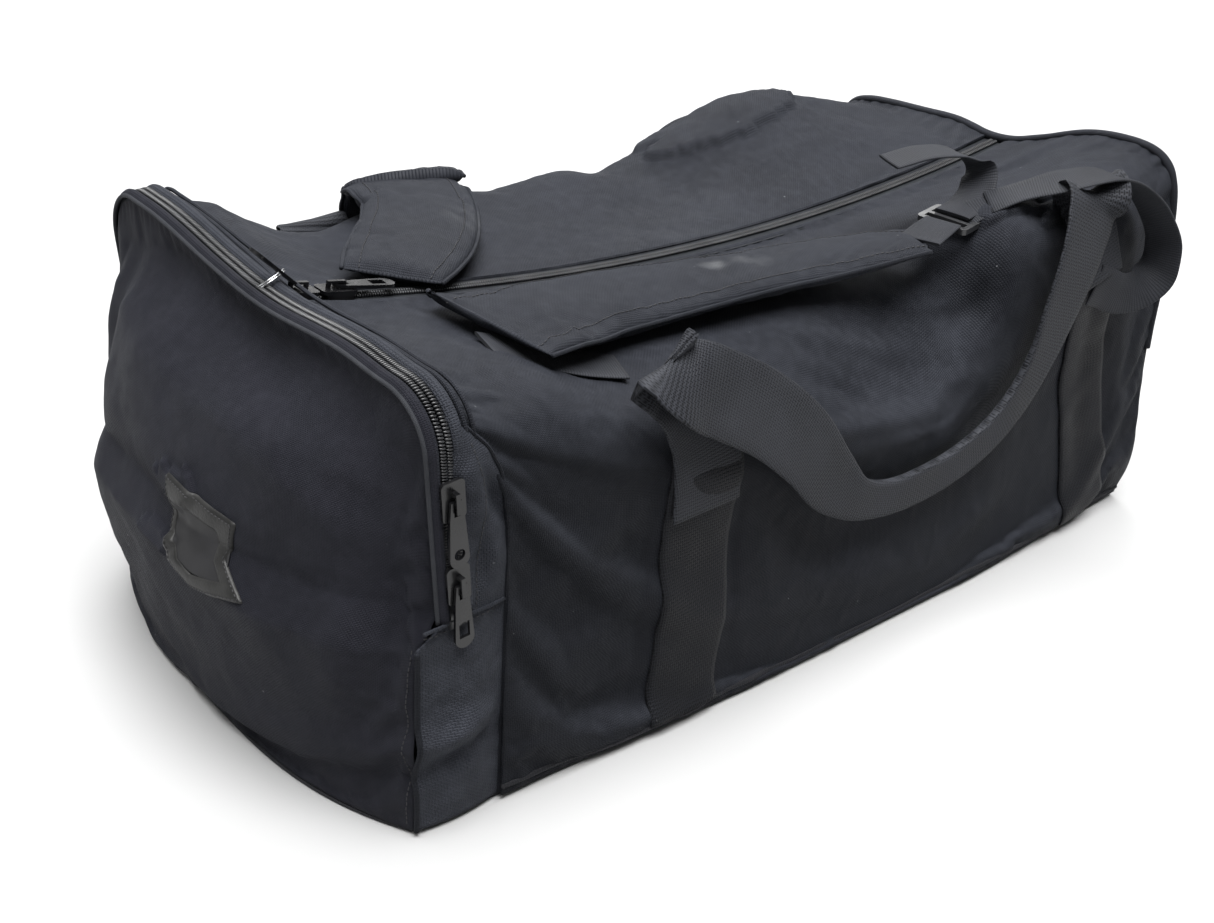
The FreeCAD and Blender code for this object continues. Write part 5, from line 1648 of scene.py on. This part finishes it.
OUTLINE = [(-5, 156), (-61, 150), (-56, 128), (-77, 114), (-36, 105), (-13, 112), (-7, 134)]
HOLE = [(-11, 143), (-46, 140), (-49, 125), (-58, 118), (-37, 113), (-24, 115), (-14, 126)]
window = window_patch("id_window_patch", OUTLINE, HOLE, "window_leatherette", 0.2, 1.6)
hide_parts("id_window_frame")
fy, fz = np.meshgrid(np.linspace(0, 1, 31), np.linspace(0, 1, 31), indexing="ij")
corner_y = (1 - fz) * (-15 - 49 * fy) + fz * (-8 - 44 * fy)
corner_z = (1 - fz) * (113.5 + 1.5 * fy) + fz * (147 - 3 * fy)
film_p = np.array([[on_end(corner_y[i, j],
    corner_z[i, j])[0] + np.array((-0.8, 0, 0)) for j in range(31)] for i in range(31)])
film = sheet_mesh("id_window_sheet", film_p, "window_film", 0.4, -1)
fix_normals(film)
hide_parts("id_window_film")
bend(film, "bag", "end_flap", end_weight)
window_loop = [(0.82 * a[0] + 0.18 * b[0], 0.82 * a[1] + 0.18 * b[1]) for a, b in zip(OUTLINE, HOLE)]


def on_patch(y, z):
    hit, n = on_end(y, z)
    return hit + n * 1.8, n


stitches("id_window_stitch", window_loop + window_loop[:1], on_patch,
         lambda o: bend(o, "bag", "end_flap", end_weight), 2.6, 1.7, 0.1)


# ------------------------------------------------------------------ CAD hardware kept, with rounded edges

METAL = ["main_slider_left", "main_slider_right", "main_pull_left", "main_pull_right", "end_slider_upper",
         "end_slider_lower", "end_pull_upper", "end_pull_lower"]
for name in METAL + ["front_buckle", "rear_buckle", "end_zip_feet"]:
    node = nodes[name]
    node.data.materials.clear()
    node.data.materials.append(M["zip_metal" if name in METAL else "buckle_plastic"])
    if name != "end_zip_feet":
        bevel = node.modifiers.new("edges", "BEVEL")
        bevel.width = (0.45 if name in METAL else 0.9) * MM
        bevel.segments = 3
        bevel.limit_method = "ANGLE"
        bevel.angle_limit = math.radians(35)
        bevel.harden_normals = False

# split ring: one and nine tenths turns of wire
ring_low, ring_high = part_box("split_ring")
ring_c = np.array((ring_low + ring_high) / 2) / MM
ring_n = unit(np.array((-0.32, 0.49, 0.81)))
ring_a = unit(np.cross(ring_n, (0.2, 0.3, 0.9)))
ring_b = np.cross(ring_n, ring_a)
turns = np.linspace(0, 2 * math.pi * 1.9, 120)
RING_RADIUS, RING_PITCH = 10.4, 1.05
wire = [ring_c + (ring_a * math.cos(t) + ring_b * math.sin(t)) * RING_RADIUS
        + ring_n * (t / (2 * math.pi) - 0.95) * RING_PITCH for t in turns]
ring = tube("split_ring_wire", wire, 0.62, "ring_chrome", 10, 0.8)
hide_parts("split_ring")
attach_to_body(ring, "split_ring")


# ------------------------------------------------------------------ floor

floor_mesh = bpy.data.meshes.new("floor")
FLOOR = 6.0
floor_mesh.from_pydata([(-FLOOR, -FLOOR, 0), (FLOOR, -FLOOR, 0), (FLOOR, FLOOR, 0), (-FLOOR, FLOOR, 0)], [],
    [(0, 1, 2, 3)])
floor = bpy.data.objects.new("floor", floor_mesh)
floor.location.z = -0.0006
g = Graph("floor_paint", (0.37, 0.37, 0.37), 0.7)
floor_mesh.materials.append(g.done(g.mix(g.noise(g.object, 2.0), (0.36, 0.36, 0.36), (0.38, 0.38, 0.38))))
bpy.context.scene.collection.objects.link(floor)
